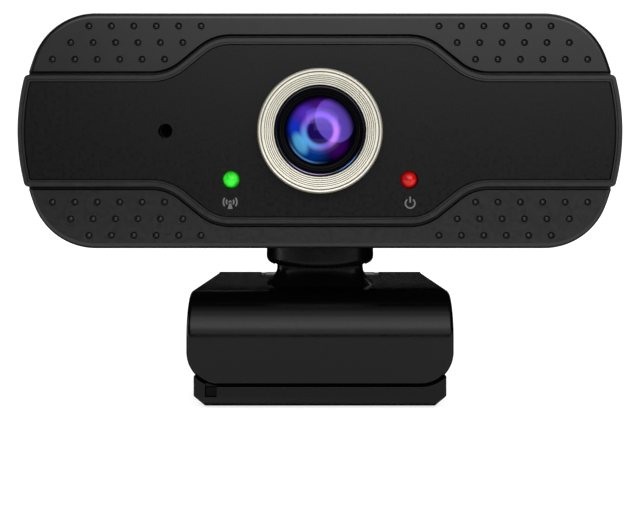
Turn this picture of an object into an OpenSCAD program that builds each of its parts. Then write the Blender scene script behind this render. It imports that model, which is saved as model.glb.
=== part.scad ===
// Clip-on webcam: an oval camera head that pans and tilts on a folding monitor clip.
// Millimetres, +Z up, the lens looks along -Y. The origin is where the pan axis
// meets the surface that the folded clip stands on.

/* [Head] */
// Width of the camera head
head_w = 99.8; // [82:0.1:120]
// Height of the camera head
head_h = 39.2; // [36:0.1:48]
// Depth of the camera head from front face to back
head_d = 26; // [25:0.5:34]
// Radius of the four corners in front view
corner_r = 11; // [6:0.5:13]
// Radius of the bowed ends in front view
side_r = 35.3; // [24:0.1:60]
// Wall of the rear shell
shell_wall = 1.8; // [1.4:0.1:2.2]
// Depth of the bezel's rim in front of the seam
bezel_rim = 1.6; // [1.4:0.1:1.8]
// Rounding of the front edge
front_edge_r = 1; // [0.4:0.1:1.3]
// Rounding of the back edge
back_edge_r = 5; // [2:0.5:6]

/* [Front panel] */
// Height of the panel's two side arms
arm_h = 18.6; // [15:0.2:22]
// Height of the panel's wide middle
middle_h = 30.9; // [26:0.1:32]
// Distance from the centre to where an arm begins
arm_x = 28; // [26:0.5:34]
// Half width of the flat top of the wide middle
middle_x = 14.8; // [12:0.1:17]
// Slope of the shoulder between arm and middle
shoulder_deg = 39; // [30:1:45]
// Width of the groove round the panel
groove = 0.45; // [0.4:0.05:0.9]
// Width of the matt band round the dark plate
band_w = 1.2; // [0.8:0.1:2]
// Height of the band above the bezel
band_proud = 0.9; // [0.5:0.1:1.2]
// How far the panel's ends reach past the head's ends
end_proud = 0.14; // [0.1:0.02:0.5]
// Spacing of the dimples
dot_pitch = 3.72; // [3.4:0.02:3.9]
// Radius of a dimple
dot_r = 0.58; // [0.4:0.02:0.8]
// Radius of the microphone hole
mic_hole_r = 1.15; // [0.6:0.05:1.5]
// Distance of the microphone from the centre
mic_x = 25.6; // [22:0.2:28]
// Radius of an indicator lamp
lamp_r = 1.35; // [1:0.05:1.6]
// Distance of the lamps from the centre line
lamp_x = 14.75; // [13:0.25:16]
// Distance of the lamps below the lens
lamp_drop = 8.1; // [7.9:0.1:8.3]

/* [Lens] */
// Outer radius of the silver ring
ring_r = 10; // [9.6:0.1:10.6]
// Inner radius of the silver ring
ring_bore_r = 7.5; // [7.4:0.05:7.8]
// How far the ring stands out of the head's front face
ring_proud = 4.1; // [3:0.1:5]
// Radius of the lens thread
thread_r = 6; // [5.6:0.1:6.3]
// Radius of the small lenses
small_lens_r = 4.4; // [4:0.1:4.8]
// Radius of the front lens
front_lens_r = 6.5; // [5.9:0.1:6.6]

/* [Swivel] */
// Radius of the collar under the head
collar_r = 9.5; // [7.9:0.1:9.6]
// Wall of the collar beside the neck
collar_cheek = 1.6; // [1.4:0.1:2.2]
// Rounding of the collar's lower edge
collar_edge_r = 1.2; // [0.5:0.1:1.5]
// Radius of the pan shaft
shaft_r = 3.5; // [3:0.1:4.5]
// Radius of the barrel on top of the neck
barrel_r = 3.4; // [3:0.1:3.5]
// Radius of the tilt pin
tilt_pin_r = 1.25; // [1:0.05:1.5]
// How far each side of the neck flares out at its foot
neck_flare = 1.7; // [0.8:0.1:3]
// Half depth of the neck
neck_half_d = 3.2; // [2.8:0.1:3.3]
// Half depth of the neck's foot
neck_base_half_d = 5; // [4:0.1:6]
// Height of the tilt pin above the clip
neck_h = 6.5; // [6.4:0.1:8]

/* [Clip] */
// Width of the clip at its front lip
lip_w = 43.8; // [38:0.2:53]
// Width of the clip at its back edge
back_w = 38.2; // [35:0.2:46]
// Height of the lip from its lower edge to the top of the clip
lip_h = 14.6; // [13.9:0.1:17.6]
// Thickness of the top plate and of the lip
clip_t = 3; // [2.6:0.1:3.2]
// Outer radius of the bend
bend_r = 7; // [5:0.5:8]
// Distance of the lip's front face in front of the pan axis
lip_front = 16; // [15:0.5:20]
// Radius of the lip's lower corners
lip_corner_r = 5.4; // [2:0.1:6]
// Radius of the hinge knuckles
knuckle_r = 3.9; // [3.4:0.1:4]
// Radius of the hinge pin
hinge_pin_r = 1.5; // [1.2:0.1:1.8]
// Distance of the hinge axis behind the pan axis
hinge_y = 13.2; // [12:0.2:18]
// Width of the middle knuckle
middle_knuckle_w = 20.8; // [16:0.2:24]

/* [Foot] */
// Width of the foot at its front edge
foot_w = 41.2; // [36:0.2:50]
// Height of the foot's front edge
flange_h = 3.1; // [2:0.1:3.4]
// Thickness of the foot behind the lip
foot_t = 5.3; // [5:0.1:5.6]
// Chamfer of the foot's lower front corners
foot_chamfer = 1.8; // [1:0.1:2.2]
// How far the rubber pad stands out of the foot
pad_proud = 0.4; // [0.2:0.05:0.6]
// Bore of the tripod insert, for a quarter-inch screw
insert_bore_r = 2.55; // [2.4:0.05:2.8]
// Outer radius of the tripod insert
insert_r = 3.9; // [3.6:0.1:4.5]
// Depth of the tripod insert
insert_h = 4.4; // [3.5:0.1:4.5]
// Thickness of the rubber pads
pad_t = 0.8; // [0.5:0.1:1]

/* [Cable inlet] */
// Bore of the cable gland
gland_bore_r = 1.75; // [1.5:0.05:2.2]
// Outer radius of the gland's neck
gland_neck_r = 3.2; // [2.8:0.1:3.4]
// Outer radius of the gland's flanges
gland_flange_r = 4.2; // [3.6:0.1:4.2]

/* [Hidden] */
$fn = 64;

// Clearances
fit = 0.05;
play = 0.1;
gap = 0.3;
layer_t = 0.1;

// Heights of the stand
foot_z = pad_proud;
flange_top = foot_z + flange_h;
foot_top = foot_z + foot_t;
lip_z = flange_top + gap;
clip_top = lip_z + lip_h;
clip_under = clip_top - clip_t;
hinge_z = clip_top - knuckle_r;
pivot_z = clip_top + neck_h;
collar_z = pivot_z - barrel_r + 0.5;
head_z0 = pivot_z + 0.9;
head_z = head_z0 + head_h / 2;

// Places along the view axis
front_y = -head_d / 2;
back_y = head_d / 2;
seam_y = front_y + bezel_rim;
bezel_back_y = seam_y + 0.8;
rabbet_y = bezel_back_y + 1;
tub_inner_y = back_y - shell_wall;
recess_y = front_y + 0.8;
band_y = front_y - band_proud;
plate_y = band_y + 0.3;
plate_t = 0.7;
ring_y = front_y - ring_proud;

// Head outline
corner_cz = head_h / 2 - corner_r;
side_cx = head_w / 2 - side_r;
corner_cx = side_cx + sqrt(pow(side_r - corner_r, 2) - pow(corner_cz, 2));
blend_deg = asin(corner_cz / (side_r - corner_r));

// Panel outline: two arcs and a straight stretch make each shoulder
panel_end_r = side_r + end_proud;
shoulder_run = arm_x - middle_x;
shoulder_rise = (middle_h - arm_h) / 2;
shoulder_r = (shoulder_run * sin(shoulder_deg) - shoulder_rise * cos(shoulder_deg))
  / (2 * (1 - cos(shoulder_deg)));
dot_rows = [0, 1, 2];
dots_in_row = 6;
dot_row_z = [2.24, 4.98, 7.76];
dot_row_shift = 3.03;
dot_from_end = 11.57;
dot_depth = 0.35;

// Pan bearing
neck_half_w = collar_r - collar_cheek - gap;
recess_r = collar_r + gap;
recess_z = pivot_z + 6;
pan_washer_t = 0.5;
collar_top = recess_z - pan_washer_t;
boss_r = recess_r + 1.8;
boss_top = recess_z + 2.8;
shaft_top = boss_top + play;
lock_washer_r = 5.5;
lock_washer_t = 0.6;
pan_screw_r = 1.4;
pan_screw_head_r = 2.75;
pan_screw_head_h = 2;
slot_half_w = neck_half_w + gap;
slot_half_d = 5.1;
slot_ceiling_r = barrel_r + gap;

// Neck
neck_base_half_w = neck_half_w + neck_flare;
shoulder_z = clip_top + 1.9;
neck_bore_r = 1.25;
neck_bore_h = 4;

// Clip
bend_inner_r = bend_r - clip_t;
bend_y = -lip_front + bend_r;
bend_z = clip_top - bend_r;
lip_back_y = -lip_front + clip_t;
clip_back_y = hinge_y + knuckle_r;
washer_t = 0.6;
outer_knuckle_x = middle_knuckle_w / 2 + washer_t + 2 * play;
notch_r = knuckle_r + gap;
screw_head_r = 2.8;
screw_head_h = 1.6;
top_pad_w = 34;
top_pad_y0 = -8;
top_pad_y1 = 6.5;
lip_pad_w = 34;

// Foot
foot_front_y = -lip_front - 0.1;
foot_step_y = lip_back_y + pad_t + 0.5;
foot_wall_t = 3.4;
foot_heel = 3;
foot_bevel_h = 1.6;
foot_bevel_d = 0.8;
foot_wall_top = hinge_z - notch_r - 0.2;
foot_pad_w = 32;
foot_pad_d = 25;
foot_pad_depth = 0.5;
foot_pad_hole_r = insert_r + 0.6;
screen_pad_w = 32;
screen_pad_y0 = -9.5;
screen_pad_y1 = 11;
mark_x = -17.8;
mark_w = 1.9;
mark_depth = 1;

// Lens stack, as distances from the front face
barrel_front_y = front_y - 0.2;
barrel_step_y = front_y + 4.4;
barrel_back_y = front_y + 11.4;
barrel_head_r = 7.2;
lens_seat_y = front_y + 1.8;
front_lens_apex_y = front_y - 1.9;
front_lens_dome_r = 9;
stop_y = front_y + 3.4;
middle_lens_y = front_y + 3.9;
middle_lens_t = 2.8;
spacer_t = 1;
rear_lens_y = middle_lens_y + middle_lens_t + spacer_t + 0.2;
rear_lens_t = 2.2;
holder_front_y = front_y + 4.8;
board_y = 2;
holder_base_y = board_y - 3;
board_t = 1.2;
board_back_y = board_y + board_t;
filter_y = holder_base_y + 0.15;
hood_setback = 0.7;
hood_land = 1.2;
hood_lip = 0.5;
retainer_w = 0.64;
retainer_t = 0.4;
stop_r = 1.5;
stop_t = 0.4;
middle_lens_dome_r = 10;
rear_lens_dome_r = 12;
ring_lip_w = 1.4;
ring_base_w = 0.5;
ring_base_t = 0.6;
ring_groove_first = 0.45;
ring_groove_pitch = 0.36;
ring_groove_w = 0.12;

// Circuit board
board_w = 62;
board_z0 = head_z - 10.5;
board_z1 = head_z + 13.5;
board_notch_half_w = 7.5;
board_notch_z = head_z - 7.9;
board_post_x = 27.5;
board_post_z = [head_z - 7, head_z + 10.5];
board_post_r = 2.2;
ear_x = 9.6;

// Screws that hold the two halves together
post_x = corner_cx + 0.9;
post_z = corner_cz + 2.4;
post_r = 2.4;
post_end_y = 4;
tub_post_y = post_end_y + play;
tub_post_r = 2.8;
counterbore_y = back_y - 6;
counterbore_r = 2.2;
post_hole_r = 1.1;
pilot_r = 0.85;
post_head_r = 1.9;
post_head_h = 1.6;
post_thread_r = 0.8;

// Lamps and microphone
lamp_z = head_z - lamp_drop;
lead_r = 0.25;
lead_half_gap = 1.27;
mic_r = 3;
mic_y = bezel_back_y + 0.5;
mic_t = 2.7;
boot_r = 4;

// Cable gland
gland_z = head_z - 6.5;

// Points along an arc, leaving out the first
function arc(cx, cy, r, a0, a1, n) =
  [for (i = [1:n]) [cx + r * cos(a0 + (a1 - a0) * i / n), cy + r * sin(a0 + (a1 - a0) * i / n)]];

// Half of a closed outline and its mirror image in the vertical axis
function both_sides(half) = concat(half, [for (i = [len(half) - 1:-1:0]) [-half[i][0], half[i][1]]]);

// Right half of the head's outline about its centre, from bottom to top
function head_half(inset) = concat(
  [[corner_cx, inset - head_h / 2]],
  arc(corner_cx, -corner_cz, corner_r - inset, -90, -blend_deg, 8),
  arc(side_cx, 0, side_r - inset, -blend_deg, blend_deg, 10),
  arc(corner_cx, corner_cz, corner_r - inset, blend_deg, 90, 8));

// Right half of one shoulder, from the arm up to the wide middle
function shoulder(inset) = concat(
  arc(arm_x, arm_h / 2 + shoulder_r, shoulder_r + inset, 270, 270 - shoulder_deg, 6),
  [[middle_x + (shoulder_r - inset) * sin(shoulder_deg),
    middle_h / 2 - shoulder_r + (shoulder_r - inset) * cos(shoulder_deg)]],
  arc(middle_x, middle_h / 2 - shoulder_r, shoulder_r - inset, 90 - shoulder_deg, 90, 6));

// Right half of the panel's outline, from bottom to top
function panel_half(inset) =
  let (end_r = panel_end_r - inset,
    end_deg = asin((arm_h / 2 - inset) / end_r),
    upper = concat(arc(side_cx, 0, end_r, 0, end_deg, 5), shoulder(inset)))
  concat([for (i = [len(upper) - 1:-1:0]) [upper[i][0], -upper[i][1]]], [[side_cx + end_r, 0]], upper);

// A slice between two depths of a shape drawn in front view
module slab(y0, y1) {
  translate([0, y1, 0]) rotate([90, 0, 0]) linear_extrude(y1 - y0) children();
}

// A shape drawn in side view, drawn out to both sides
module across(w) {
  rotate([90, 0, 90]) linear_extrude(w, center = true) children();
}

module box(x0, x1, y0, y1, z0, z1) {
  translate([x0, y0, z0]) cube([x1 - x0, y1 - y0, z1 - z0]);
}

module rod_x(x0, x1, y, z, r) {
  translate([x0, y, z]) rotate([0, 90, 0]) cylinder(h = x1 - x0, r = r);
}

module rod_y(x, z, y0, y1, r) {
  translate([x, y0, z]) rotate([-90, 0, 0]) cylinder(h = y1 - y0, r = r);
}

module rod_z(x, y, z0, z1, r) {
  translate([x, y, z0]) cylinder(h = z1 - z0, r = r);
}

// Turned about the lens axis: a profile of radius against depth
module lens_turned() {
  translate([0, 0, head_z]) rotate([-90, 0, 0]) rotate_extrude() children();
}

// A strip of a turned profile
module strip(r0, r1, y0, y1) {
  translate([r0, y0]) square([r1 - r0, y1 - y0]);
}

module head_shape(inset) {
  translate([0, head_z]) polygon(both_sides(head_half(inset)));
}

module panel_shape(inset) {
  translate([0, head_z]) polygon(both_sides(panel_half(inset)));
}

// The head's outline from y0 to y1 with its back edge rounded
module rounded_back(y0, y1, inset, r) {
  steps = 5;
  hull() {
    slab(y0, y1 - r) head_shape(inset);
    for (i = [1:steps])
      let (a = 90 * i / steps)
        slab(y1 - 2 * r, y1 - r + r * sin(a)) head_shape(inset + r * (1 - cos(a)));
  }
}

// The head's outline from y0 to y1 with its front edge rounded
module rounded_front(y0, y1, r) {
  steps = 4;
  hull() {
    slab(y0 + r, y1) head_shape(0);
    for (i = [1:steps])
      let (a = 90 * i / steps)
        slab(y0 + r - r * sin(a), y1) head_shape(r * (1 - cos(a)));
  }
}

module at_posts() {
  for (sx = [-1, 1], sz = [-1, 1])
    translate([sx * post_x, 0, head_z + sz * post_z]) children();
}

module at_board_posts() {
  for (sx = [-1, 1], z = board_post_z)
    translate([sx * board_post_x, 0, z]) children();
}

// Room for the pan boss behind the bezel
module boss_room() {
  box(-boss_r - gap, boss_r + gap, seam_y, 0, head_z0 - 1, boss_top + gap);
}

// The holes that the lens, the lamps and the microphone need in every front layer
module front_holes(y0, y1) {
  rod_y(0, head_z, y0, y1, ring_bore_r + 1.5);
  for (sx = [-1, 1]) rod_y(sx * lamp_x, lamp_z, y0, y1, lamp_r + play);
  rod_y(-mic_x, head_z, y0, y1, mic_hole_r);
}

module dots() {
  for (sx = [-1, 1], sz = [-1, 1], row = dot_rows, i = [0:dots_in_row - 1]) {
    x = head_w / 2 - dot_from_end + row * dot_row_shift - i * dot_pitch;
    z = head_h / 2 - dot_row_z[row];
    rod_y(sx * x, head_z + sz * z, front_y - 1, front_y + dot_depth, dot_r);
  }
}

// ---- Foot ----

module foot_side() {
  polygon([
    [foot_front_y, foot_z + foot_bevel_h], [foot_front_y + foot_bevel_d, foot_z],
    [clip_back_y - foot_heel, foot_z], [clip_back_y, foot_z + foot_heel],
    [clip_back_y, foot_wall_top], [clip_back_y - foot_wall_t, foot_wall_top],
    [clip_back_y - foot_wall_t, foot_top], [foot_front_y, foot_top]]);
}

module foot_front() {
  polygon([[-foot_w / 2, foot_z + foot_chamfer], [-foot_w / 2 + foot_chamfer, foot_z],
    [foot_w / 2 - foot_chamfer, foot_z], [foot_w / 2, foot_z + foot_chamfer],
    [foot_w / 2, hinge_z], [-foot_w / 2, hinge_z]]);
}

module foot_plan() {
  polygon([[-foot_w / 2, foot_front_y], [foot_w / 2, foot_front_y],
    [back_w / 2, clip_back_y], [-back_w / 2, clip_back_y]]);
}

module foot() {
  color("#2a2a2b") difference() {
    union() {
      intersection() {
        across(foot_w + 2) foot_side();
        slab(foot_front_y - 1, clip_back_y + 1) foot_front();
        linear_extrude(clip_top) foot_plan();
      }
      box(-middle_knuckle_w / 2, middle_knuckle_w / 2, clip_back_y - foot_wall_t, clip_back_y,
        foot_wall_top - 1, hinge_z);
      rod_x(-middle_knuckle_w / 2, middle_knuckle_w / 2, hinge_y, hinge_z, knuckle_r);
    }
    rod_x(-foot_w, foot_w, hinge_y, hinge_z, hinge_pin_r);
    box(-foot_pad_w / 2 - play, foot_pad_w / 2 + play, -foot_pad_d / 2 - play, foot_pad_d / 2 + play,
      foot_z - 1, foot_z + foot_pad_depth);
    rod_z(0, 0, foot_z - 1, foot_z + insert_h, insert_r);
    slab(foot_front_y - 1, foot_step_y) lip_outline(gap);
    box(mark_x - mark_w / 2, mark_x + mark_w / 2, foot_front_y - 1, foot_front_y + mark_depth,
      foot_z + foot_bevel_h, foot_top + 1);
  }
}

module foot_pad() {
  color("#151515") difference() {
    box(-foot_pad_w / 2, foot_pad_w / 2, -foot_pad_d / 2, foot_pad_d / 2, 0, foot_z + foot_pad_depth);
    rod_z(0, 0, -1, foot_top, foot_pad_hole_r);
  }
}

module screen_pad() {
  color("#151515") box(-screen_pad_w / 2, screen_pad_w / 2, screen_pad_y0, screen_pad_y1,
    foot_top, foot_top + pad_t);
}

module tripod_insert() {
  color("#b08d3f") difference() {
    rod_z(0, 0, foot_z, foot_z + insert_h, insert_r - 0.01);
    rod_z(0, 0, foot_z - 1, foot_z + insert_h - 0.5, insert_bore_r);
  }
}

module hinge_pin() {
  color("#9a9a9a") rod_x(-back_w / 2 + 1, back_w / 2 - 1, hinge_y, hinge_z, hinge_pin_r - 0.01);
}

module hinge_washers() {
  color("#222222") for (sx = [-1, 1]) difference() {
    rod_x(sx * (middle_knuckle_w / 2 + play + washer_t / 2) - washer_t / 2,
      sx * (middle_knuckle_w / 2 + play + washer_t / 2) + washer_t / 2, hinge_y, hinge_z, knuckle_r - 0.1);
    rod_x(-foot_w, foot_w, hinge_y, hinge_z, hinge_pin_r + fit);
  }
}

// ---- Clip ----

module clip_side() {
  union() {
    translate([bend_y, clip_under]) square([hinge_y - bend_y, clip_t]);
    translate([-lip_front, lip_z]) square([clip_t, bend_z - lip_z]);
    translate([bend_y, bend_z]) intersection() {
      difference() {
        circle(bend_r);
        circle(bend_inner_r);
      }
      translate([-bend_r, 0]) square(bend_r);
    }
    translate([hinge_y, hinge_z]) circle(knuckle_r);
  }
}

// The lip's outline in front view, enlarged by a clearance
module lip_outline(grow) {
  w = lip_w / 2;
  cx = w - lip_corner_r;
  polygon(both_sides(concat(
    [[cx, lip_z - grow]],
    arc(cx, lip_z + lip_corner_r, lip_corner_r + grow, -90, 0, 10),
    [[w + grow, clip_top + 1]])));
}

module clip_plan() {
  polygon([[-lip_w / 2, -lip_front - 1], [lip_w / 2, -lip_front - 1], [lip_w / 2, bend_y],
    [back_w / 2, clip_back_y], [-back_w / 2, clip_back_y], [-lip_w / 2, bend_y]]);
}

module top_bracket() {
  color("#2b2b2c") difference() {
    intersection() {
      across(lip_w + 2) clip_side();
      slab(-lip_front - 1, clip_back_y + 1) lip_outline(0);
      linear_extrude(clip_top + 1) clip_plan();
    }
    box(-outer_knuckle_x, outer_knuckle_x, hinge_y - notch_r, clip_back_y + 1, lip_z, clip_top + 1);
    rod_x(-lip_w, lip_w, hinge_y, hinge_z, hinge_pin_r + fit);
    rod_z(0, 0, clip_under - 1, clip_under + screw_head_h, screw_head_r + 0.2);
    rod_z(0, 0, clip_under, clip_top + 1, neck_bore_r + 0.2);
  }
}

module lip_pad() {
  color("#151515") box(-lip_pad_w / 2, lip_pad_w / 2, lip_back_y, lip_back_y + pad_t,
    foot_top + pad_t + gap, bend_z);
}

module top_pad() {
  color("#151515") difference() {
    box(-top_pad_w / 2, top_pad_w / 2, top_pad_y0, top_pad_y1, clip_under - pad_t, clip_under);
    rod_z(0, 0, clip_under - 5, clip_under + 1, screw_head_r + 0.5);
  }
}

module neck_post() {
  color("#262627") difference() {
    union() {
      hull() {
        box(-neck_base_half_w, neck_base_half_w, -neck_base_half_d, neck_base_half_d,
          clip_top, clip_top + layer_t);
        box(-neck_half_w - 0.5, neck_half_w + 0.5, -neck_half_d - 0.4, neck_half_d + 0.4,
          clip_top + 0.8, clip_top + 0.8 + layer_t);
        box(-neck_half_w, neck_half_w, -neck_half_d, neck_half_d, clip_top + layer_t, shoulder_z);
      }
      box(-neck_half_w, neck_half_w, -neck_half_d, neck_half_d, shoulder_z - 0.5, pivot_z);
      rod_x(-neck_half_w, neck_half_w, 0, pivot_z, barrel_r);
    }
    rod_x(-neck_half_w - 1, neck_half_w + 1, 0, pivot_z, tilt_pin_r + fit);
    rod_z(0, 0, clip_top - 1, clip_top + neck_bore_h, neck_bore_r);
  }
}

module neck_screw() {
  color("#8d8d8f") {
    rod_z(0, 0, clip_under, clip_under + screw_head_h, screw_head_r);
    rod_z(0, 0, clip_under + screw_head_h - 0.1, clip_top + neck_bore_h - 0.3, neck_bore_r - 0.02);
  }
}

// ---- Swivel ----

module collar_profile() {
  difference() {
    translate([0, collar_z]) square([collar_r, collar_top - collar_z]);
    translate([collar_r - collar_edge_r, collar_z]) difference() {
      translate([0, -1]) square([collar_edge_r + 1, collar_edge_r + 1]);
      translate([0, collar_edge_r]) circle(collar_edge_r);
    }
  }
}

module swivel_collar() {
  color("#29292a") difference() {
    union() {
      rotate_extrude() collar_profile();
      rod_z(0, 0, collar_top - 0.5, shaft_top, shaft_r);
    }
    rod_x(-slot_half_w, slot_half_w, 0, pivot_z, slot_ceiling_r);
    box(-slot_half_w, slot_half_w, -slot_ceiling_r, slot_ceiling_r, collar_z - 1, pivot_z);
    across(2 * slot_half_w) polygon([[-slot_half_d, collar_z - 1], [slot_half_d, collar_z - 1],
      [slot_half_d, collar_z], [slot_ceiling_r, pivot_z - 0.5], [-slot_ceiling_r, pivot_z - 0.5],
      [-slot_half_d, collar_z]]);
    rod_x(-collar_r, collar_r, 0, pivot_z, tilt_pin_r);
    rod_z(0, 0, collar_top - 1, shaft_top + 1, pan_screw_r);
  }
}

module tilt_pin() {
  color("#9a9a9a") rod_x(-collar_r + 0.4, collar_r - 0.4, 0, pivot_z, tilt_pin_r - 0.01);
}

module pan_lock_washer() {
  color("#a8a8aa") difference() {
    rod_z(0, 0, shaft_top, shaft_top + lock_washer_t, lock_washer_r);
    rod_z(0, 0, shaft_top - 1, shaft_top + 2, pan_screw_r + 0.1);
  }
}

module pan_screw() {
  color("#8d8d8f") {
    rod_z(0, 0, shaft_top + lock_washer_t, shaft_top + lock_washer_t + pan_screw_head_h, pan_screw_head_r);
    rod_z(0, 0, collar_top - 0.8, shaft_top + lock_washer_t + 0.1, pan_screw_r - 0.02);
  }
}

module pan_washer() {
  color("#d8d4c6") difference() {
    rod_z(0, 0, collar_top + 0.05, recess_z, recess_r - 0.4);
    rod_z(0, 0, collar_top - 1, recess_z + 1, shaft_r + 0.2);
  }
}

// ---- Head shells ----

module rear_shell() {
  color("#232324") difference() {
    union() {
      difference() {
        rounded_back(seam_y, back_y, 0, back_edge_r);
        rounded_back(seam_y - 1, tub_inner_y, shell_wall, back_edge_r - shell_wall);
      }
      intersection() {
        rod_z(0, 0, head_z0 + 0.5, boss_top, boss_r);
        box(-boss_r - 1, boss_r + 1, seam_y, back_y - 1, head_z0, boss_top + 1);
      }
      at_posts() rod_y(0, 0, tub_post_y, tub_inner_y + 0.5, tub_post_r);
      at_board_posts() rod_y(0, 0, board_back_y, tub_inner_y + 0.5, board_post_r);
    }
    rod_z(0, 0, head_z0 - 1, recess_z, recess_r);
    rod_z(0, 0, recess_z - 1, boss_top + 1, shaft_r + fit);
    at_posts() rod_y(0, 0, counterbore_y, back_y + 1, counterbore_r);
    at_posts() rod_y(0, 0, tub_post_y - 1, back_y, post_hole_r);
    at_board_posts() rod_y(0, 0, board_back_y - 1, board_back_y + 5, pilot_r);
    rod_y(0, gland_z, tub_inner_y - 1, back_y + 1, gland_neck_r + fit);
  }
}

module front_bezel() {
  color("#333334") difference() {
    union() {
      rounded_front(front_y, seam_y, front_edge_r);
      difference() {
        slab(seam_y - 0.1, rabbet_y) head_shape(shell_wall + play);
        slab(bezel_back_y, rabbet_y + 1) head_shape(shell_wall + play + 1.3);
        boss_room();
      }
      at_posts() rod_y(0, 0, bezel_back_y - 0.2, post_end_y, post_r);
    }
    slab(front_y - 1, recess_y) panel_shape(-groove);
    front_holes(front_y - 1, bezel_back_y + 1);
    dots();
    at_posts() rod_y(0, 0, bezel_back_y + 4, post_end_y + 1, pilot_r);
  }
}

module panel_frame() {
  color("#3b3b3c") difference() {
    slab(band_y, recess_y) panel_shape(0);
    slab(band_y - 1, plate_y + plate_t) panel_shape(band_w);
    front_holes(band_y - 1, recess_y + 1);
  }
}

module face_plate() {
  color("#222223") difference() {
    slab(plate_y, plate_y + plate_t) panel_shape(band_w + 0.05);
    front_holes(plate_y - 1, plate_y + plate_t + 1);
  }
}

module shell_screws() {
  color("#8d8d8f") at_posts() {
    rod_y(0, 0, counterbore_y, counterbore_y + post_head_h, post_head_r);
    rod_y(0, 0, post_end_y - 7, counterbore_y + 0.1, post_thread_r);
  }
}

// ---- Lens ----

module lens_ring() {
  color("#dedccb") lens_turned() difference() {
    union() {
      strip(ring_bore_r, ring_r, ring_y, plate_y);
      strip(ring_bore_r, ring_r + ring_base_w, plate_y - ring_base_t, plate_y);
      strip(ring_bore_r, ring_bore_r + ring_lip_w, plate_y - 0.1, bezel_back_y);
    }
    translate([ring_r, ring_y]) rotate(45) square(0.5, center = true);
    for (i = [0:4]) translate([ring_bore_r + ring_groove_first + i * ring_groove_pitch, ring_y - 1])
      square([ring_groove_w, 1 + ring_groove_w]);
  }
}

module lens_hood() {
  color("#0c0c0d") lens_turned() polygon([
    [ring_bore_r - fit, ring_y + hood_setback], [ring_bore_r - fit, barrel_front_y - play],
    [front_lens_r + play, barrel_front_y - play], [front_lens_r + play, barrel_front_y - hood_land],
    [ring_bore_r - hood_lip, ring_y + hood_setback]]);
}

module lens_retainer() {
  color("#101011") lens_turned()
    strip(front_lens_r + 0.04 - retainer_w, front_lens_r + 0.04, barrel_front_y, barrel_front_y + retainer_t);
}

module front_lens() {
  color("#27306a") lens_turned() intersection() {
    translate([0, front_lens_apex_y + front_lens_dome_r]) circle(front_lens_dome_r);
    strip(0, front_lens_r - 0.65, front_lens_apex_y - 1, lens_seat_y);
  }
}

module lens_barrel() {
  color("#0e0e0f") lens_turned() difference() {
    union() {
      strip(small_lens_r + 0.05, barrel_head_r, barrel_front_y, barrel_step_y);
      strip(small_lens_r + 0.05, thread_r, barrel_step_y - 0.1, barrel_back_y);
      strip(small_lens_r - 0.8, thread_r, barrel_back_y - 0.8, barrel_back_y);
    }
    strip(0, front_lens_r + 0.05, barrel_front_y - 1, lens_seat_y);
  }
}

module lens_stop() {
  color("#080808") lens_turned() strip(stop_r, small_lens_r, stop_y, stop_y + stop_t);
}

module middle_lens() {
  color("#3a4690") lens_turned() intersection() {
    translate([0, middle_lens_y + middle_lens_dome_r]) circle(middle_lens_dome_r);
    translate([0, middle_lens_y + middle_lens_t - middle_lens_dome_r]) circle(middle_lens_dome_r);
    strip(0, small_lens_r, middle_lens_y - 1, middle_lens_y + middle_lens_t + 1);
  }
}

module lens_spacer() {
  color("#0e0e0f") lens_turned() strip(small_lens_r - 0.6, small_lens_r,
    middle_lens_y + middle_lens_t + 0.05, middle_lens_y + middle_lens_t + spacer_t);
}

module rear_lens() {
  color("#3a4690") lens_turned() intersection() {
    translate([0, rear_lens_y + rear_lens_dome_r]) circle(rear_lens_dome_r);
    strip(0, small_lens_r, rear_lens_y, rear_lens_y + rear_lens_t);
  }
}

module lens_holder() {
  color("#161617") difference() {
    union() {
      rod_y(0, head_z, holder_front_y, holder_base_y + 0.2, thread_r + 1.5);
      box(-7.5, 7.5, holder_base_y, board_y, head_z - 7.5, head_z + 7.5);
      box(-ear_x - 2, ear_x + 2, board_y - 1.6, board_y, head_z - 2.5, head_z + 2.5);
    }
    rod_y(0, head_z, holder_front_y - 1, barrel_back_y + 0.1, thread_r + fit);
    rod_y(0, head_z, barrel_back_y, holder_base_y + 1, 3.6);
    box(-5.5, 5.5, filter_y, board_y + 1, head_z - 5.5, head_z + 5.5);
    for (sx = [-1, 1]) rod_y(sx * ear_x, head_z, board_y - 3, board_y + 1, 0.8);
  }
}

module ir_filter() {
  color("#7fb7a6") box(-4.5, 4.5, filter_y, filter_y + 0.5, head_z - 4.5, head_z + 4.5);
}

module holder_screws() {
  color("#8d8d8f") for (sx = [-1, 1]) {
    rod_y(sx * ear_x, head_z, board_back_y, board_back_y + 0.9, 1.5);
    rod_y(sx * ear_x, head_z, board_y - 1.5, board_back_y + 0.1, 0.78);
  }
}

module image_sensor() {
  color("#4c5a55") box(-3.6, 3.6, board_y - 0.9, board_y, head_z - 3.6, head_z + 3.6);
}

// ---- Electronics ----

module main_board() {
  color("#1f5c3a") difference() {
    box(-board_w / 2, board_w / 2, board_y, board_back_y, board_z0, board_z1);
    box(-board_notch_half_w, board_notch_half_w, board_y - 1, board_back_y + 1, board_z0 - 1, board_notch_z);
    at_board_posts() rod_y(0, 0, board_y - 1, board_back_y + 1, 1.05);
    for (sx = [-1, 1]) rod_y(sx * ear_x, head_z, board_y - 1, board_back_y + 1, 0.85);
    for (sx = [-1, 1], leg = [-1, 1])
      rod_y(sx * lamp_x + leg * lead_half_gap, lamp_z, board_y - 1, board_back_y + 1, lead_r + 0.1);
    for (leg = [-1, 1])
      rod_y(-mic_x + leg * lead_half_gap, head_z, board_y - 1, board_back_y + 1, lead_r + 0.1);
  }
}

module processor() {
  color("#151516") box(-4.5, 4.5, board_back_y, board_back_y + 1, head_z - 4.5, head_z + 4.5);
}

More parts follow.
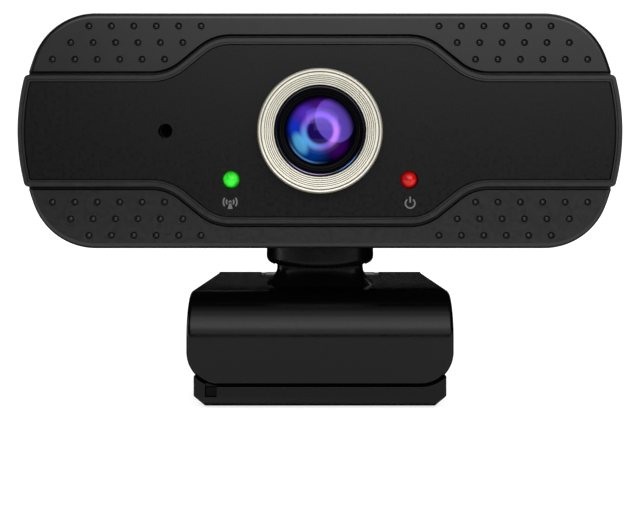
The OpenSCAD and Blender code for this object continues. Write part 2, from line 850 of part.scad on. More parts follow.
// Small parts: a crystal, a coil, a memory chip and rows of capacitors
module board_parts() {
  color("#4a4436") {
    box(12, 17, board_back_y, board_back_y + 1.6, head_z + 3, head_z + 6.2);
    box(13, 18, board_back_y, board_back_y + 0.9, head_z - 4, head_z);
    rod_y(21, head_z + 5, board_back_y, board_back_y + 2.2, 2);
    for (i = [0:4]) box(-6 + 3 * i, -5 + 3 * i, board_back_y, board_back_y + 0.6, head_z + 8.5, head_z + 10);
    for (i = [0:3]) box(-21, -19.5, board_back_y, board_back_y + 0.6, head_z - 6 + 3 * i, head_z - 5 + 3 * i);
    for (i = [0:2]) box(19 + 2.5 * i, 20 + 2.5 * i, board_y - 0.8, board_y, head_z + 5, head_z + 7);
  }
}

module board_screws() {
  color("#8d8d8f") at_board_posts() {
    rod_y(0, 0, board_y - 1.3, board_y, 1.9);
    rod_y(0, 0, board_y - 0.1, board_back_y + 4.5, 0.8);
  }
}

module usb_header() {
  color("#e6e1d2") difference() {
    box(-18, -9, board_back_y, board_back_y + 5, head_z + 5, head_z + 10);
    box(-17.2, -9.8, board_back_y + 1, board_back_y + 6, head_z + 5.8, head_z + 9.2);
  }
}

module cable_gland() {
  color("#1a1a1a") difference() {
    union() {
      rod_y(0, gland_z, back_y, back_y + 1.2, gland_flange_r);
      rod_y(0, gland_z, tub_inner_y - 1.2, back_y + 0.5, gland_neck_r);
      rod_y(0, gland_z, tub_inner_y - 1.3, tub_inner_y, gland_flange_r);
    }
    rod_y(0, gland_z, tub_inner_y - 2, back_y + 2, gland_bore_r);
  }
}

// A lamp: domed body, flange and two leads to the board
module lamp(x) {
  tip_y = plate_y - 0.5;
  body_end_y = bezel_back_y + 0.8;
  intersection() {
    union() {
      rod_y(x, lamp_z, tip_y + lamp_r, body_end_y, lamp_r);
      translate([x, tip_y + lamp_r, lamp_z]) sphere(lamp_r);
    }
    rod_y(x, lamp_z, tip_y - 1, body_end_y, lamp_r + 1);
  }
  rod_y(x, lamp_z, bezel_back_y + 0.05, body_end_y, lamp_r + 0.5);
  for (leg = [-1, 1]) rod_y(x + leg * lead_half_gap, lamp_z, body_end_y - 0.1, board_y, lead_r);
}

module green_lamp() {
  color("#3fbf3a") lamp(-lamp_x);
}

module red_lamp() {
  color("#d2322a") lamp(lamp_x);
}

module microphone() {
  color("#a9a9ac") {
    rod_y(-mic_x, head_z, mic_y, mic_y + mic_t, mic_r);
    for (leg = [-1, 1]) rod_y(-mic_x + leg * lead_half_gap, head_z, mic_y + mic_t - 0.1, board_y, lead_r);
  }
}

module microphone_boot() {
  color("#1c1c1d") difference() {
    rod_y(-mic_x, head_z, bezel_back_y, mic_y + mic_t, boot_r);
    rod_y(-mic_x, head_z, mic_y, mic_y + mic_t + 1, mic_r);
    rod_y(-mic_x, head_z, bezel_back_y - 1, mic_y + 1, mic_hole_r);
  }
}

foot();
foot_pad();
screen_pad();
tripod_insert();
hinge_pin();
hinge_washers();
top_bracket();
lip_pad();
top_pad();
neck_post();
neck_screw();
swivel_collar();
tilt_pin();
pan_lock_washer();
pan_screw();
pan_washer();
rear_shell();
front_bezel();
panel_frame();
face_plate();
shell_screws();
lens_ring();
lens_hood();
lens_retainer();
front_lens();
lens_barrel();
lens_stop();
middle_lens();
lens_spacer();
rear_lens();
ir_filter();
lens_holder();
holder_screws();
image_sensor();
main_board();
processor();
board_parts();
board_screws();
usb_header();
cable_gland();
green_lamp();
red_lamp();
microphone();
microphone_boot();
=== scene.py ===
"""Looks of a clip-on webcam: an oval head on a folding monitor clip, built round the CAD frame."""

import math

import bmesh
import bpy
from mathutils import Matrix, Vector


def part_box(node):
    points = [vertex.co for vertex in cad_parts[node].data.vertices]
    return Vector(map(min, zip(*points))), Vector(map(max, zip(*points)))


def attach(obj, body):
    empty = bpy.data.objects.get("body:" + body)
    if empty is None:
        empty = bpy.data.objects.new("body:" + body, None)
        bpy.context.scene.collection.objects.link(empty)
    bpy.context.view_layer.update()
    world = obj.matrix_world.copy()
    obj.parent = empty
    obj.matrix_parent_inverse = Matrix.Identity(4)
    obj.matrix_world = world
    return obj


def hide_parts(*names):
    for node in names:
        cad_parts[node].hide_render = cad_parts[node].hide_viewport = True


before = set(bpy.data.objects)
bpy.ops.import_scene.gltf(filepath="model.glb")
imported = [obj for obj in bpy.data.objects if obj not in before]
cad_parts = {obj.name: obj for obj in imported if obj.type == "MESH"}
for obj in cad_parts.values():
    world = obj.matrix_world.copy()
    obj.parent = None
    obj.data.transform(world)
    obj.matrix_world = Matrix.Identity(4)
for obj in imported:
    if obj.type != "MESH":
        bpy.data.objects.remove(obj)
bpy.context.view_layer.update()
MM = 0.001

# ---- Sizes, read from the frame or named here, in metres ----

shell_lo, shell_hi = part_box("rear_shell")
band_lo, band_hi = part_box("panel_frame")
collar_lo, collar_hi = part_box("swivel_collar")
neck_lo, neck_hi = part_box("neck_post")
clip_lo, clip_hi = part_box("top_bracket")
foot_lo, foot_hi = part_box("foot")
pin_lo, pin_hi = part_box("hinge_pin")
tilt_lo, tilt_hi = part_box("tilt_pin")

HEAD_W = shell_hi.x - shell_lo.x
HEAD_H = shell_hi.z - shell_lo.z
HEAD_Z = (shell_hi.z + shell_lo.z) / 2
FRONT_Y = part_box("front_bezel")[0].y
SEAM_Y = shell_lo.y
BACK_Y = shell_hi.y
BAND_Y = band_lo.y
RECESS_Y = band_hi.y
PLATE_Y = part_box("face_plate")[0].y
RING_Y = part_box("lens_ring")[0].y
HINGE_Y = (pin_lo.y + pin_hi.y) / 2
HINGE_Z = (pin_lo.z + pin_hi.z) / 2
PIVOT_Z = (tilt_lo.z + tilt_hi.z) / 2

COLLAR_R = (collar_hi.x - collar_lo.x) / 2
LIP_HALF_W = (clip_hi.x - clip_lo.x) / 2

CORNER_R = 11 * MM
SIDE_R = 35.3 * MM
FRONT_EDGE_R = 1.0 * MM
BACK_EDGE_R = 5.0 * MM
SHELL_WALL = 1.8 * MM
SEAM_CHAMFER = 0.15 * MM

ARM_H = 18.6 * MM
MIDDLE_H = band_hi.z - band_lo.z
ARM_X = 28 * MM
MIDDLE_X = 14.8 * MM
SHOULDER = math.radians(39)
GROOVE = 0.45 * MM
BAND_W = 1.2 * MM
END_PROUD = 0.14 * MM
PANEL_CORNER_R = 0.8 * MM

DOT_PITCH = 3.72 * MM
DOT_R = 0.58 * MM
DOT_ROWS = (2.24 * MM, 4.98 * MM, 7.76 * MM)
DOT_ROW_SHIFT = 3.03 * MM
DOT_FROM_END = 11.57 * MM
DOTS_IN_ROW = 6
MIC_X = 25.6 * MM
MIC_R = 1.15 * MM
LAMP_X = 14.75 * MM
LAMP_Z = HEAD_Z - 8.1 * MM
LAMP_R = 1.35 * MM
SYMBOL_Z = HEAD_Z - 11.9 * MM

RING_R = 10 * MM
RING_BORE_R = 7.5 * MM
LENS_EDGE_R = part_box("front_lens")[1].x
FRONT_LENS_R = LENS_EDGE_R + 0.65 * MM
GROOVES = 5
GROOVE_R = RING_R - 0.72 * MM
GROOVE_END_R = RING_BORE_R + 0.25 * MM
GROOVE_PITCH = (GROOVE_R - GROOVE_END_R) / GROOVES
GROOVE_FROM, GROOVE_TO = 0.60, 0.92    # where the groove lies in each pitch, as shares of it
LENS_AXIS = (0, 0, HEAD_Z)
FACE_HOLES = ((0, HEAD_Z, RING_BORE_R + 1.5 * MM), (-MIC_X, HEAD_Z, MIC_R),
              (-LAMP_X, LAMP_Z, LAMP_R + 0.1 * MM), (LAMP_X, LAMP_Z, LAMP_R + 0.1 * MM))
OVERRUN = 1 * MM    # how far a cutter runs past the faces it cuts
FAR = 30 * MM       # beyond every side of the clip and the foot


# ---- Camera: at lens height, looking level at the head's face ----

EYE_DISTANCE = 171 * MM
FOCAL_LENGTH = 58
DOWN_SHIFT = -0.202


def make_camera():
    data = bpy.data.cameras.new("camera")
    data.lens = FOCAL_LENGTH
    data.sensor_width = 36
    data.shift_y = DOWN_SHIFT
    data.clip_start = 0.01
    data.clip_end = 20
    camera = bpy.data.objects.new("camera", data)
    camera.location = (0, FRONT_Y - EYE_DISTANCE, HEAD_Z)
    camera.rotation_euler = (math.radians(90), 0, 0)
    bpy.context.collection.objects.link(camera)
    bpy.context.scene.camera = camera


make_camera()


# ---- Mesh helpers ----

def to_object(bm, name):
    bmesh.ops.remove_doubles(bm, verts=bm.verts, dist=1e-7)
    bmesh.ops.recalc_face_normals(bm, faces=bm.faces)
    mesh = bpy.data.meshes.new(name)
    bm.to_mesh(mesh)
    bm.free()
    obj = bpy.data.objects.new(name, mesh)
    bpy.context.collection.objects.link(obj)
    return obj


def bridge(bm, loops, wrap=True):
    """Adds vertices for rows of points and the faces between neighbours. Rows may close on themselves."""
    rows = [[bm.verts.new(p) for p in loop] for loop in loops]
    for a, b in zip(rows, rows[1:]):
        for i in range(len(a) if wrap else len(a) - 1):
            j = (i + 1) % len(a)
            bm.faces.new((a[i], a[j], b[j], b[i]))
    return rows


def loft(loops, name, closed=False):
    """Skins a list of point loops of equal length. A closed loft joins its last loop to its first."""
    bm = bmesh.new()
    rings = bridge(bm, loops + loops[:1] if closed else loops)
    if not closed:
        bm.faces.new(list(reversed(rings[0])))
        bm.faces.new(rings[-1])
    return to_object(bm, name)


def lathe(profile, name, centre=(0, 0, 0), axis="Y", steps=96, closed=True):
    """Turns a profile of (radius, distance along the axis). A closed profile is a ring's section."""
    bm = bmesh.new()
    rings = []
    for radius, along in profile:
        if radius < 1e-7:
            rings.append([bm.verts.new(turned(0, along, 0, axis, centre))])
        else:
            rings.append([bm.verts.new(turned(radius, along, 2 * math.pi * i / steps, axis, centre))
                          for i in range(steps)])
    pairs = list(zip(rings, rings[1:]))
    if closed:
        pairs.append((rings[-1], rings[0]))
    for a, b in pairs:
        for i in range(steps):
            j = (i + 1) % steps
            corners = [a[i % len(a)], a[j % len(a)], b[j % len(b)], b[i % len(b)]]
            unique = list(dict.fromkeys(corners))
            if len(unique) > 2:
                bm.faces.new(unique)
    return to_object(bm, name)


def shifted(points, radius, along):
    """Profile points in millimetres, moved to start from a radius and a distance along the axis."""
    return [(radius + a * MM, along + b * MM) for a, b in points]


def turned(radius, along, angle, axis, centre):
    u, v = radius * math.cos(angle), radius * math.sin(angle)
    offset = {"X": (along, u, v), "Y": (u, along, v), "Z": (u, v, along)}[axis]
    return Vector(offset) + Vector(centre)


def prism(points, lo, hi, name, axis="Y"):
    """Draws a flat outline out along an axis. Points are the other two coordinates, in XYZ order."""
    def place(p, along):
        return {"X": (along, p[0], p[1]), "Y": (p[0], along, p[1]), "Z": (p[0], p[1], along)}[axis]
    return loft([[place(p, lo) for p in points], [place(p, hi) for p in points]], name)


def block(lo, hi, radius, name):
    """A box with rounded edges."""
    bm = bmesh.new()
    size = Vector(hi) - Vector(lo)
    bmesh.ops.create_cube(bm, size=1, matrix=Matrix.Translation((Vector(lo) + Vector(hi)) / 2)
                          @ Matrix.Diagonal((*size, 1)))
    if radius:
        bmesh.ops.bevel(bm, geom=bm.edges[:], offset=radius, segments=3, profile=0.5,
                        affect="EDGES", clamp_overlap=True)
    return to_object(bm, name)


def rod(axis, centre, radius, lo, hi, name, steps=64, chamfer=0.0):
    """A cylinder between two distances along an axis, with chamfered ends."""
    profile = [(0, lo), (radius - chamfer, lo), (radius, lo + chamfer),
               (radius, hi - chamfer), (radius - chamfer, hi), (0, hi)]
    if not chamfer:
        profile = [(0, lo), (radius, lo), (radius, hi), (0, hi)]
    return lathe(profile, name, centre, axis, steps, closed=False)


def combine(obj, tools, operation="DIFFERENCE"):
    """Cuts or joins tool objects, then deletes them."""
    for tool in tools:
        modifier = obj.modifiers.new("combine", "BOOLEAN")
        modifier.operation = operation
        modifier.object = tool
        modifier.solver = "EXACT"
        modifier.material_mode = "TRANSFER"
    graph = bpy.context.evaluated_depsgraph_get()
    mesh = bpy.data.meshes.new_from_object(obj.evaluated_get(graph))
    obj.modifiers.clear()
    obj.data = mesh
    for tool in tools:
        bpy.data.objects.remove(tool)
    return obj


def merge(objects, name):
    """Puts the meshes of several objects, already in place, into one."""
    bm = bmesh.new()
    for obj in objects:
        bm.from_mesh(obj.data)
        bpy.data.objects.remove(obj)
    mesh = bpy.data.meshes.new(name)
    bm.to_mesh(mesh)
    bm.free()
    obj = bpy.data.objects.new(name, mesh)
    bpy.context.collection.objects.link(obj)
    return obj


def soften(obj, width, segments, angle):
    """Rounds the edges of a clean mesh that are sharper than an angle in degrees."""
    bm = bmesh.new()
    bm.from_mesh(obj.data)
    limit = math.radians(angle)
    edges = [e for e in bm.edges if len(e.link_faces) == 2 and e.calc_face_angle(0) > limit]
    bmesh.ops.bevel(bm, geom=edges, offset=width, segments=segments, profile=0.5,
                    affect="EDGES", clamp_overlap=True)
    bm.to_mesh(obj.data)
    bm.free()
    return obj


def present(obj, body, nodes, material, smooth_angle=32):
    """Smooths a finished piece, gives it its material and puts it on its body in place of CAD nodes."""
    mesh = obj.data
    mesh.polygons.foreach_set("use_smooth", [True] * len(mesh.polygons))
    mesh.set_sharp_from_angle(angle=math.radians(smooth_angle))
    weighted = obj.modifiers.new("weighted", "WEIGHTED_NORMAL")
    weighted.keep_sharp = True
    if len(mesh.materials) < 2:
        mesh.materials.clear()
        mesh.materials.append(material)
    for i, held in enumerate(mesh.materials):
        if held is None:
            mesh.materials[i] = material
    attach(obj, body)
    if nodes:
        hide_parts(*nodes)


# ---- Outlines of the head and of its front panel, as (x, z) points round the head's centre ----

def arc(cx, cz, radius, start, end, steps):
    """Points along an arc in radians, leaving out its first."""
    return [(cx + radius * math.cos(start + (end - start) * i / steps),
             cz + radius * math.sin(start + (end - start) * i / steps))
            for i in range(1, steps + 1)]


def both_sides(half):
    return half + [(-x, z) for x, z in reversed(half)]


def head_outline(inset):
    side_x = HEAD_W / 2 - SIDE_R
    corner_z = HEAD_H / 2 - CORNER_R
    corner_x = side_x + math.sqrt((SIDE_R - CORNER_R) ** 2 - corner_z ** 2)
    blend = math.asin(corner_z / (SIDE_R - CORNER_R))
    right = [(corner_x, inset - HEAD_H / 2)]
    right += arc(corner_x, -corner_z, CORNER_R - inset, -math.pi / 2, -blend, 20)
    right += arc(side_x, 0, SIDE_R - inset, -blend, blend, 28)
    right += arc(corner_x, corner_z, CORNER_R - inset, blend, math.pi / 2, 20)
    return both_sides(right)


def panel_outline(inset):
    rise = (MIDDLE_H - ARM_H) / 2
    run = ARM_X - MIDDLE_X
    bend = (run * math.sin(SHOULDER) - rise * math.cos(SHOULDER)) / (2 * (1 - math.cos(SHOULDER)))
    side_x = HEAD_W / 2 - SIDE_R
    end_r = SIDE_R + END_PROUD - inset
    corner = max(PANEL_CORNER_R - inset, 0.15 * MM)
    corner_z = ARM_H / 2 - inset - corner
    end_angle = math.asin(corner_z / (end_r - corner))
    corner_x = side_x + (end_r - corner) * math.cos(end_angle)
    upper = arc(side_x, 0, end_r, 0, end_angle, 14)
    upper += arc(corner_x, corner_z, corner, end_angle, math.pi / 2, 5)
    upper += [(ARM_X, ARM_H / 2 - inset)]
    upper += arc(ARM_X, ARM_H / 2 + bend, bend + inset, 1.5 * math.pi, 1.5 * math.pi - SHOULDER, 14)
    upper += [(MIDDLE_X + (bend - inset) * math.sin(SHOULDER),
               MIDDLE_H / 2 - bend + (bend - inset) * math.cos(SHOULDER))]
    upper += arc(MIDDLE_X, MIDDLE_H / 2 - bend, bend - inset, math.pi / 2 - SHOULDER, math.pi / 2, 14)
    right = [(x, -z) for x, z in reversed(upper)] + [(side_x + end_r, 0)] + upper
    return both_sides(right)


def stack(outline, levels, name, closed=False):
    """Skins the head's or the panel's outline through pairs of (inset, depth)."""
    return loft([[(x, y, HEAD_Z + z) for x, z in outline(inset)] for inset, y in levels], name, closed)


def round_over(radius, steps):
    """Pairs of (inset, rise) for a quarter round."""
    return [(radius * (1 - math.cos(0.5 * math.pi * i / steps)),
             radius * math.sin(0.5 * math.pi * i / steps)) for i in range(steps + 1)]


# ---- Materials ----

def feed(tree, slot, value):
    """Links an input to a socket, or sets it. A colour is three numbers."""
    if isinstance(value, bpy.types.NodeSocket):
        tree.links.new(value, slot)
    else:
        slot.default_value = (*value, 1) if slot.type == "RGBA" else value


def wire(tree, made, **sockets):
    """Feeds a node's inputs by name, with underscores for spaces."""
    for key, value in sockets.items():
        feed(tree, made.inputs[key.replace("_", " ")], value)
    return made


def new_material(name, **sockets):
    material = bpy.data.materials.new(name)
    material.use_nodes = True
    tree = material.node_tree
    return material, tree, wire(tree, tree.nodes["Principled BSDF"], **sockets)


def node(tree, kind, **settings):
    made = tree.nodes.new(kind)
    for key, value in settings.items():
        setattr(made, key, value)
    return made


def object_place(tree):
    return node(tree, "ShaderNodeTexCoord").outputs["Object"]


def object_axes(tree):
    """The X, Y and Z sockets of a point in the piece's own coordinates."""
    parts = node(tree, "ShaderNodeSeparateXYZ")
    tree.links.new(object_place(tree), parts.inputs[0])
    return parts.outputs["X"], parts.outputs["Y"], parts.outputs["Z"]


def noise(tree, scale, detail=3.0):
    """Fractal noise in the piece's own coordinates, in waves per metre."""
    made = node(tree, "ShaderNodeTexNoise")
    wire(tree, made, Vector=object_place(tree), Scale=scale, Detail=detail, Roughness=0.55)
    return made.outputs["Fac"]


NOISE_LOW, NOISE_HIGH = 0.3, 0.7    # nearly all of the noise lies between these


def spread(tree, value, low, high):
    """Maps a noise value to a range."""
    made = node(tree, "ShaderNodeMapRange")
    wire(tree, made, Value=value, From_Min=NOISE_LOW, From_Max=NOISE_HIGH, To_Min=low, To_Max=high)
    return made.outputs["Result"]


def tinted(tree, value, dark, light):
    """Mixes two colours by a noise value."""
    made = wire(tree, node(tree, "ShaderNodeValToRGB"), Fac=value)
    for stop, position, colour in zip(made.color_ramp.elements, (NOISE_LOW, NOISE_HIGH), (dark, light)):
        stop.position = position
        stop.color = (*colour, 1)
    return made.outputs["Color"]


def bumped(tree, shader, height, strength, distance):
    made = wire(tree, node(tree, "ShaderNodeBump"), Height=height, Strength=strength, Distance=distance)
    wire(tree, shader, Normal=made.outputs["Normal"])


def calculate(tree, operation, *operands):
    """A maths node. Each operand is a socket or a number."""
    made = node(tree, "ShaderNodeMath", operation=operation)
    for slot, value in zip(made.inputs, operands):
        feed(tree, slot, value)
    return made.outputs[0]


def times(tree, first, second):
    return calculate(tree, "MULTIPLY", first, second)


def inverse(tree, amount):
    return calculate(tree, "SUBTRACT", 1, amount)


def greater(tree, first, second):
    return calculate(tree, "MAXIMUM", first, second)


def length(tree, u, v):
    return calculate(tree, "SQRT", calculate(tree, "ADD", times(tree, u, u), times(tree, v, v)))


def falloff(tree, distance, full, none):
    """1 inside the first distance, 0 beyond the second, smooth between."""
    made = node(tree, "ShaderNodeMapRange", interpolation_type="SMOOTHSTEP")
    wire(tree, made, Value=distance, From_Min=full, From_Max=none, To_Min=1, To_Max=0)
    return made.outputs["Result"]


def hoop_mask(tree, r, inside, outside):
    """1 on a soft hoop between two pairs of radii, 0 inside and outside it."""
    return times(tree, falloff(tree, r, *outside), inverse(tree, falloff(tree, r, *inside)))


def between(tree, value, low, high):
    """1 where a value lies between two others, 0 elsewhere, with hard edges."""
    return times(tree, calculate(tree, "LESS_THAN", value, high), calculate(tree, "GREATER_THAN", value, low))


def spot(tree, u, v, centre, radii, full, none, tilt=0):
    """A soft elliptical patch, tilted by an angle in degrees."""
    du = calculate(tree, "SUBTRACT", u, centre[0])
    dv = calculate(tree, "SUBTRACT", v, centre[1])
    c, s = math.cos(math.radians(tilt)), math.sin(math.radians(tilt))
    along = calculate(tree, "ADD", times(tree, du, c / radii[0]), times(tree, dv, s / radii[0]))
    aside = calculate(tree, "SUBTRACT", times(tree, dv, c / radii[1]), times(tree, du, s / radii[1]))
    return falloff(tree, length(tree, along, aside), full, none)


def layered(tree, below, colour, amount, mode="MIX"):
    """Lays a colour over another by an amount."""
    made = node(tree, "ShaderNodeMix", data_type="RGBA", blend_type=mode)
    for slot, value in zip((made.inputs[0], made.inputs[6], made.inputs[7]), (amount, below, colour)):
        feed(tree, slot, value)
    return made.outputs[2]


def patched(tree, colour, u, v, patches):
    """Lays soft patches over a colour, each with its colour and what spot() takes."""
    for tone, *place in patches:
        colour = layered(tree, colour, tone, spot(tree, u, v, *place))
    return colour


TONE_SCALE, GLOSS_SCALE = 180, 1400
SHADE_BLEND = 0.15 * MM
GRAIN_DEPTH = 0.02 * MM


def moulded(name, tone, rough, grain=0.35 * MM, bump=0.25, variation=0.12, tint=(1, 1, 1.02), specular=0.5,
            shade_from=None, shade=0.0006):
    """Moulded plastic: fine spark texture, slow changes of tone and roughness.
    Beyond a given depth the cavities get painted shade: a set tone and no gloss."""
    material, tree, shader = new_material(name, Specular_IOR_Level=specular)
    dark, light = ([tone * level * t for t in tint] for level in (1 - variation, 1 + variation))
    colour = tinted(tree, noise(tree, TONE_SCALE, 4), dark, light)
    if shade_from is not None:
        # Painted shade: deeper than shade_from the colour turns to the shade tone and the gloss fades out.
        open_face = falloff(tree, object_axes(tree)[1], shade_from, shade_from + SHADE_BLEND)
        colour = layered(tree, colour, (shade, shade, shade), inverse(tree, open_face))
        wire(tree, shader, Specular_IOR_Level=times(tree, open_face, specular))
    wire(tree, shader, Base_Color=colour,
         Roughness=spread(tree, noise(tree, GLOSS_SCALE), rough - 0.05, rough + 0.05))
    bumped(tree, shader, noise(tree, 1 / grain, 2), bump, GRAIN_DEPTH)
    return material


SCRATCH_SCALE = 2500


def metal(name, colour, rough, metallic=1.0):
    """Metal with fine scratches and slight changes of tone."""
    material, tree, shader = new_material(name, Metallic=metallic)
    wire(tree, shader, Base_Color=tinted(tree, noise(tree, 400, 5), [c * 0.88 for c in colour], colour),
         Roughness=spread(tree, noise(tree, SCRATCH_SCALE), rough - 0.07, rough + 0.07))
    bumped(tree, shader, noise(tree, SCRATCH_SCALE * 2), 0.12, 0.01 * MM)
    return material


def lens_plane(tree, unit):
    """Position across the lens face, in units of a radius, and the distance from its axis."""
    x, _, z = object_axes(tree)
    u = calculate(tree, "DIVIDE", x, unit)
    v = calculate(tree, "DIVIDE", calculate(tree, "SUBTRACT", z, HEAD_Z), unit)
    return u, v, length(tree, u, v)


# Patches of painted reflection in the coating's colours: colour, centre, radii, full strength inside, none
# beyond, tilt.
LENS_REFLECTIONS = (
    ((0.010, 0.001, 0.06), (0.0, 0.05), (0.95, 0.95), 0.3, 1.05),
    ((0.004, 0.018, 0.30), (-0.74, 0.12), (0.30, 0.42), 0.1, 1.3),
    ((0.050, 0.015, 0.28), (-0.40, 0.52), (0.50, 0.34), 0.1, 1.3),
    ((0.035, 0.004, 0.11), (0.10, 0.80), (0.55, 0.22), 0.1, 1.3),
    ((0.0, 0.020, 0.14), (-0.30, -0.66), (0.60, 0.34), 0.2, 1.2),
    ((0.022, 0.001, 0.06), (0.55, -0.52), (0.42, 0.40), 0.2, 1.2),
    ((0.045, 0.21, 0.40), (-0.56, -0.36), (0.20, 0.36), 0.5, 1.2, 28),
)
# Painted reflections on the ring round the pupil, in the same columns.
PUPIL_RING_REFLECTIONS = (
    ((0.06, 0.24, 0.52), (-0.45, -0.32), (0.62, 0.55), 0.2, 1.2),
    ((0.34, 0.13, 0.50), (0.46, -0.12), (0.30, 0.50), 0.2, 1.2),
)
# Painted reflections along the bottom of the hood's bead, in the same columns.
BEAD_REFLECTIONS = (
    ((0.24, 0.17, 0.36), (-0.30, -0.90), (0.62, 0.30), 0.2, 1.2),
    ((0.03, 0.13, 0.36), (0.62, -0.72), (0.36, 0.30), 0.2, 1.2),
)


def coated_lens():
    """Multi-coated front lens: dark glass with painted reflections in blue, violet and pink coating colours,
    a painted highlight near its edge and a painted glow from emission.
    """
    material, tree, shader = new_material("coated_lens", Roughness=0.06, Specular_IOR_Level=0.12,
                                          Coat_Weight=0.05, Coat_Roughness=0.03, Emission_Strength=0.55)
    u, v, r = lens_plane(tree, LENS_EDGE_R)
    # Painted reflections of the coatings over dark glass; the colour also feeds the emission, so the lens
    # glows though it is no lamp.
    lit = patched(tree, (0.0004, 0.0002, 0.004), u, v, LENS_REFLECTIONS)
    pupil_ring_reflection = patched(tree, (0.13, 0.055, 0.42), u, v, PUPIL_RING_REFLECTIONS)
    lit = layered(tree, lit, pupil_ring_reflection, times(tree, hoop_mask(tree, r, (0.32, 0.44), (0.46, 0.62)), 0.8))
    lit = layered(tree, lit, (0.004, 0.002, 0.045), times(tree, falloff(tree, r, 0.22, 0.40), 0.8))
    # Painted reflection of a round light: a lighter violet disc at the upper right.
    painted_reflection_disc = spot(tree, u, v, (0.42, 0.30), (0.56, 0.66), 0.93, 1.02, tilt=20)
    lit = layered(tree, lit, (0.055, 0.032, 0.21), painted_reflection_disc, "ADD")
    # Painted highlight: a thin light-blue arc near the edge at the lower left.
    edge_highlight_arc = times(tree, hoop_mask(tree, r, (0.87, 0.90), (0.93, 0.96)),
                     spot(tree, u, v, (-0.50, -0.72), (0.70, 0.62), 0.3, 1.2))
    lit = layered(tree, lit, (0.05, 0.16, 0.34), edge_highlight_arc)
    shown = greater(tree, falloff(tree, r, 0.80, 1.0), edge_highlight_arc)
    colour = layered(tree, (0.0006, 0.0004, 0.004), lit, shown)
    wire(tree, shader, Base_Color=colour, Emission_Color=colour)
    bumped(tree, shader, noise(tree, 900), 0.02, 0.01 * MM)
    return material


def bead_gloss():
    """Black gloss with painted violet and blue reflections along the lower edge, which also glow from
    emission.
    """
    material, tree, shader = new_material("bead_gloss", Roughness=0.2, Emission_Strength=0.6)
    u, v, _ = lens_plane(tree, RING_BORE_R)
    colour = patched(tree, (0.002, 0.0015, 0.004), u, v, BEAD_REFLECTIONS)
    wire(tree, shader, Base_Color=colour, Emission_Color=colour)
    return material


def turned_silver():
    """Champagne-silver ring with the fine lines that turning leaves, and painted shade: dark colour in the
    grooves between its steps, in the groove near the rim and beyond the base rim.
    """
    material, tree, shader = new_material("turned_silver", Metallic=0.25, Coat_Weight=0.3,
                                          Coat_Roughness=0.25)
    _, _, r = lens_plane(tree, RING_R)
    inward = calculate(tree, "SUBTRACT", GROOVE_R / RING_R, r)
    turn = calculate(tree, "FRACT", calculate(tree, "DIVIDE", inward, GROOVE_PITCH / RING_R))
    # Painted shade in the grooves between the steps, in the groove near the rim and in the shadow gap beyond
    # the base rim.
    grooves = times(tree, between(tree, turn, GROOVE_FROM, GROOVE_TO),
                    between(tree, r, GROOVE_END_R / RING_R, GROOVE_R / RING_R))
    rim_groove_shade = between(tree, r, 0.949, 0.967)
    base_rim = calculate(tree, "GREATER_THAN", r, 1.003)
    dark = greater(tree, greater(tree, grooves, rim_groove_shade), base_rim)
    tone = tinted(tree, noise(tree, 300, 4), (0.63, 0.605, 0.50), (0.72, 0.695, 0.595))
    wire(tree, shader, Base_Color=layered(tree, tone, (0.10, 0.09, 0.065), times(tree, dark, 0.85)),
         Roughness=spread(tree, noise(tree, 2200), 0.26, 0.40))
    turned_lines = calculate(tree, "SINE", times(tree, r, 420))
    bumped(tree, shader, turned_lines, 0.2, 0.012 * MM)
    return material


def lamp_glow(name, colour, deep, glow):
    """A lit lamp: brighter in the middle than at its edge."""
    material, tree, shader = new_material(name, Roughness=0.25, Specular_IOR_Level=0.3, Coat_Weight=0.15,
                                          Coat_Roughness=0.1, Emission_Strength=glow)
    x, _, z = object_axes(tree)
    across = calculate(tree, "SUBTRACT", calculate(tree, "ABSOLUTE", x), LAMP_X)
    up = calculate(tree, "SUBTRACT", z, LAMP_Z)
    middle = spot(tree, across, up, (0, 0), (LAMP_R, LAMP_R), 0.55, 1.15)
    wire(tree, shader, Base_Color=tinted(tree, noise(tree, 900, 2), deep, colour),
         Emission_Color=layered(tree, deep, colour, middle))
    return material


def glass(name, colour):
    material, tree, shader = new_material(name, Transmission_Weight=0.9, IOR=1.5, Coat_Weight=0.4)
    wire(tree, shader, Base_Color=tinted(tree, noise(tree, 200), [c * 0.9 for c in colour], colour),
         Roughness=spread(tree, noise(tree, 800), 0.01, 0.05))
    return material


def printed(name, tone):
    """Pad-printed ink with slightly uneven cover."""
    material, tree, shader = new_material(name)
    wire(tree, shader,
         Base_Color=tinted(tree, noise(tree, 5000, 4), [tone * 0.8] * 3, [tone * 1.1] * 3),
         Roughness=spread(tree, noise(tree, 2000), 0.5, 0.65))
    return material


def circuit_board():
    """Solder mask over a pattern of copper tracks."""
    material, tree, shader = new_material("circuit_board", Coat_Weight=0.3, Coat_Roughness=0.2)
    upright = wire(tree, node(tree, "ShaderNodeMapping"), Vector=object_place(tree),
                   Rotation=(math.radians(90), 0, 0))
    tracks = wire(tree, node(tree, "ShaderNodeTexBrick"), Vector=upright.outputs["Vector"], Scale=260,
                  Color1=(0.010, 0.105, 0.045), Color2=(0.012, 0.125, 0.055),
                  Mortar=(0.030, 0.230, 0.100), Mortar_Size=0.035)
    wire(tree, shader, Base_Color=tracks.outputs["Color"],
         Roughness=spread(tree, noise(tree, 1500), 0.28, 0.42))
    bumped(tree, shader, tracks.outputs["Fac"], 0.2, 0.03 * MM)
    return material


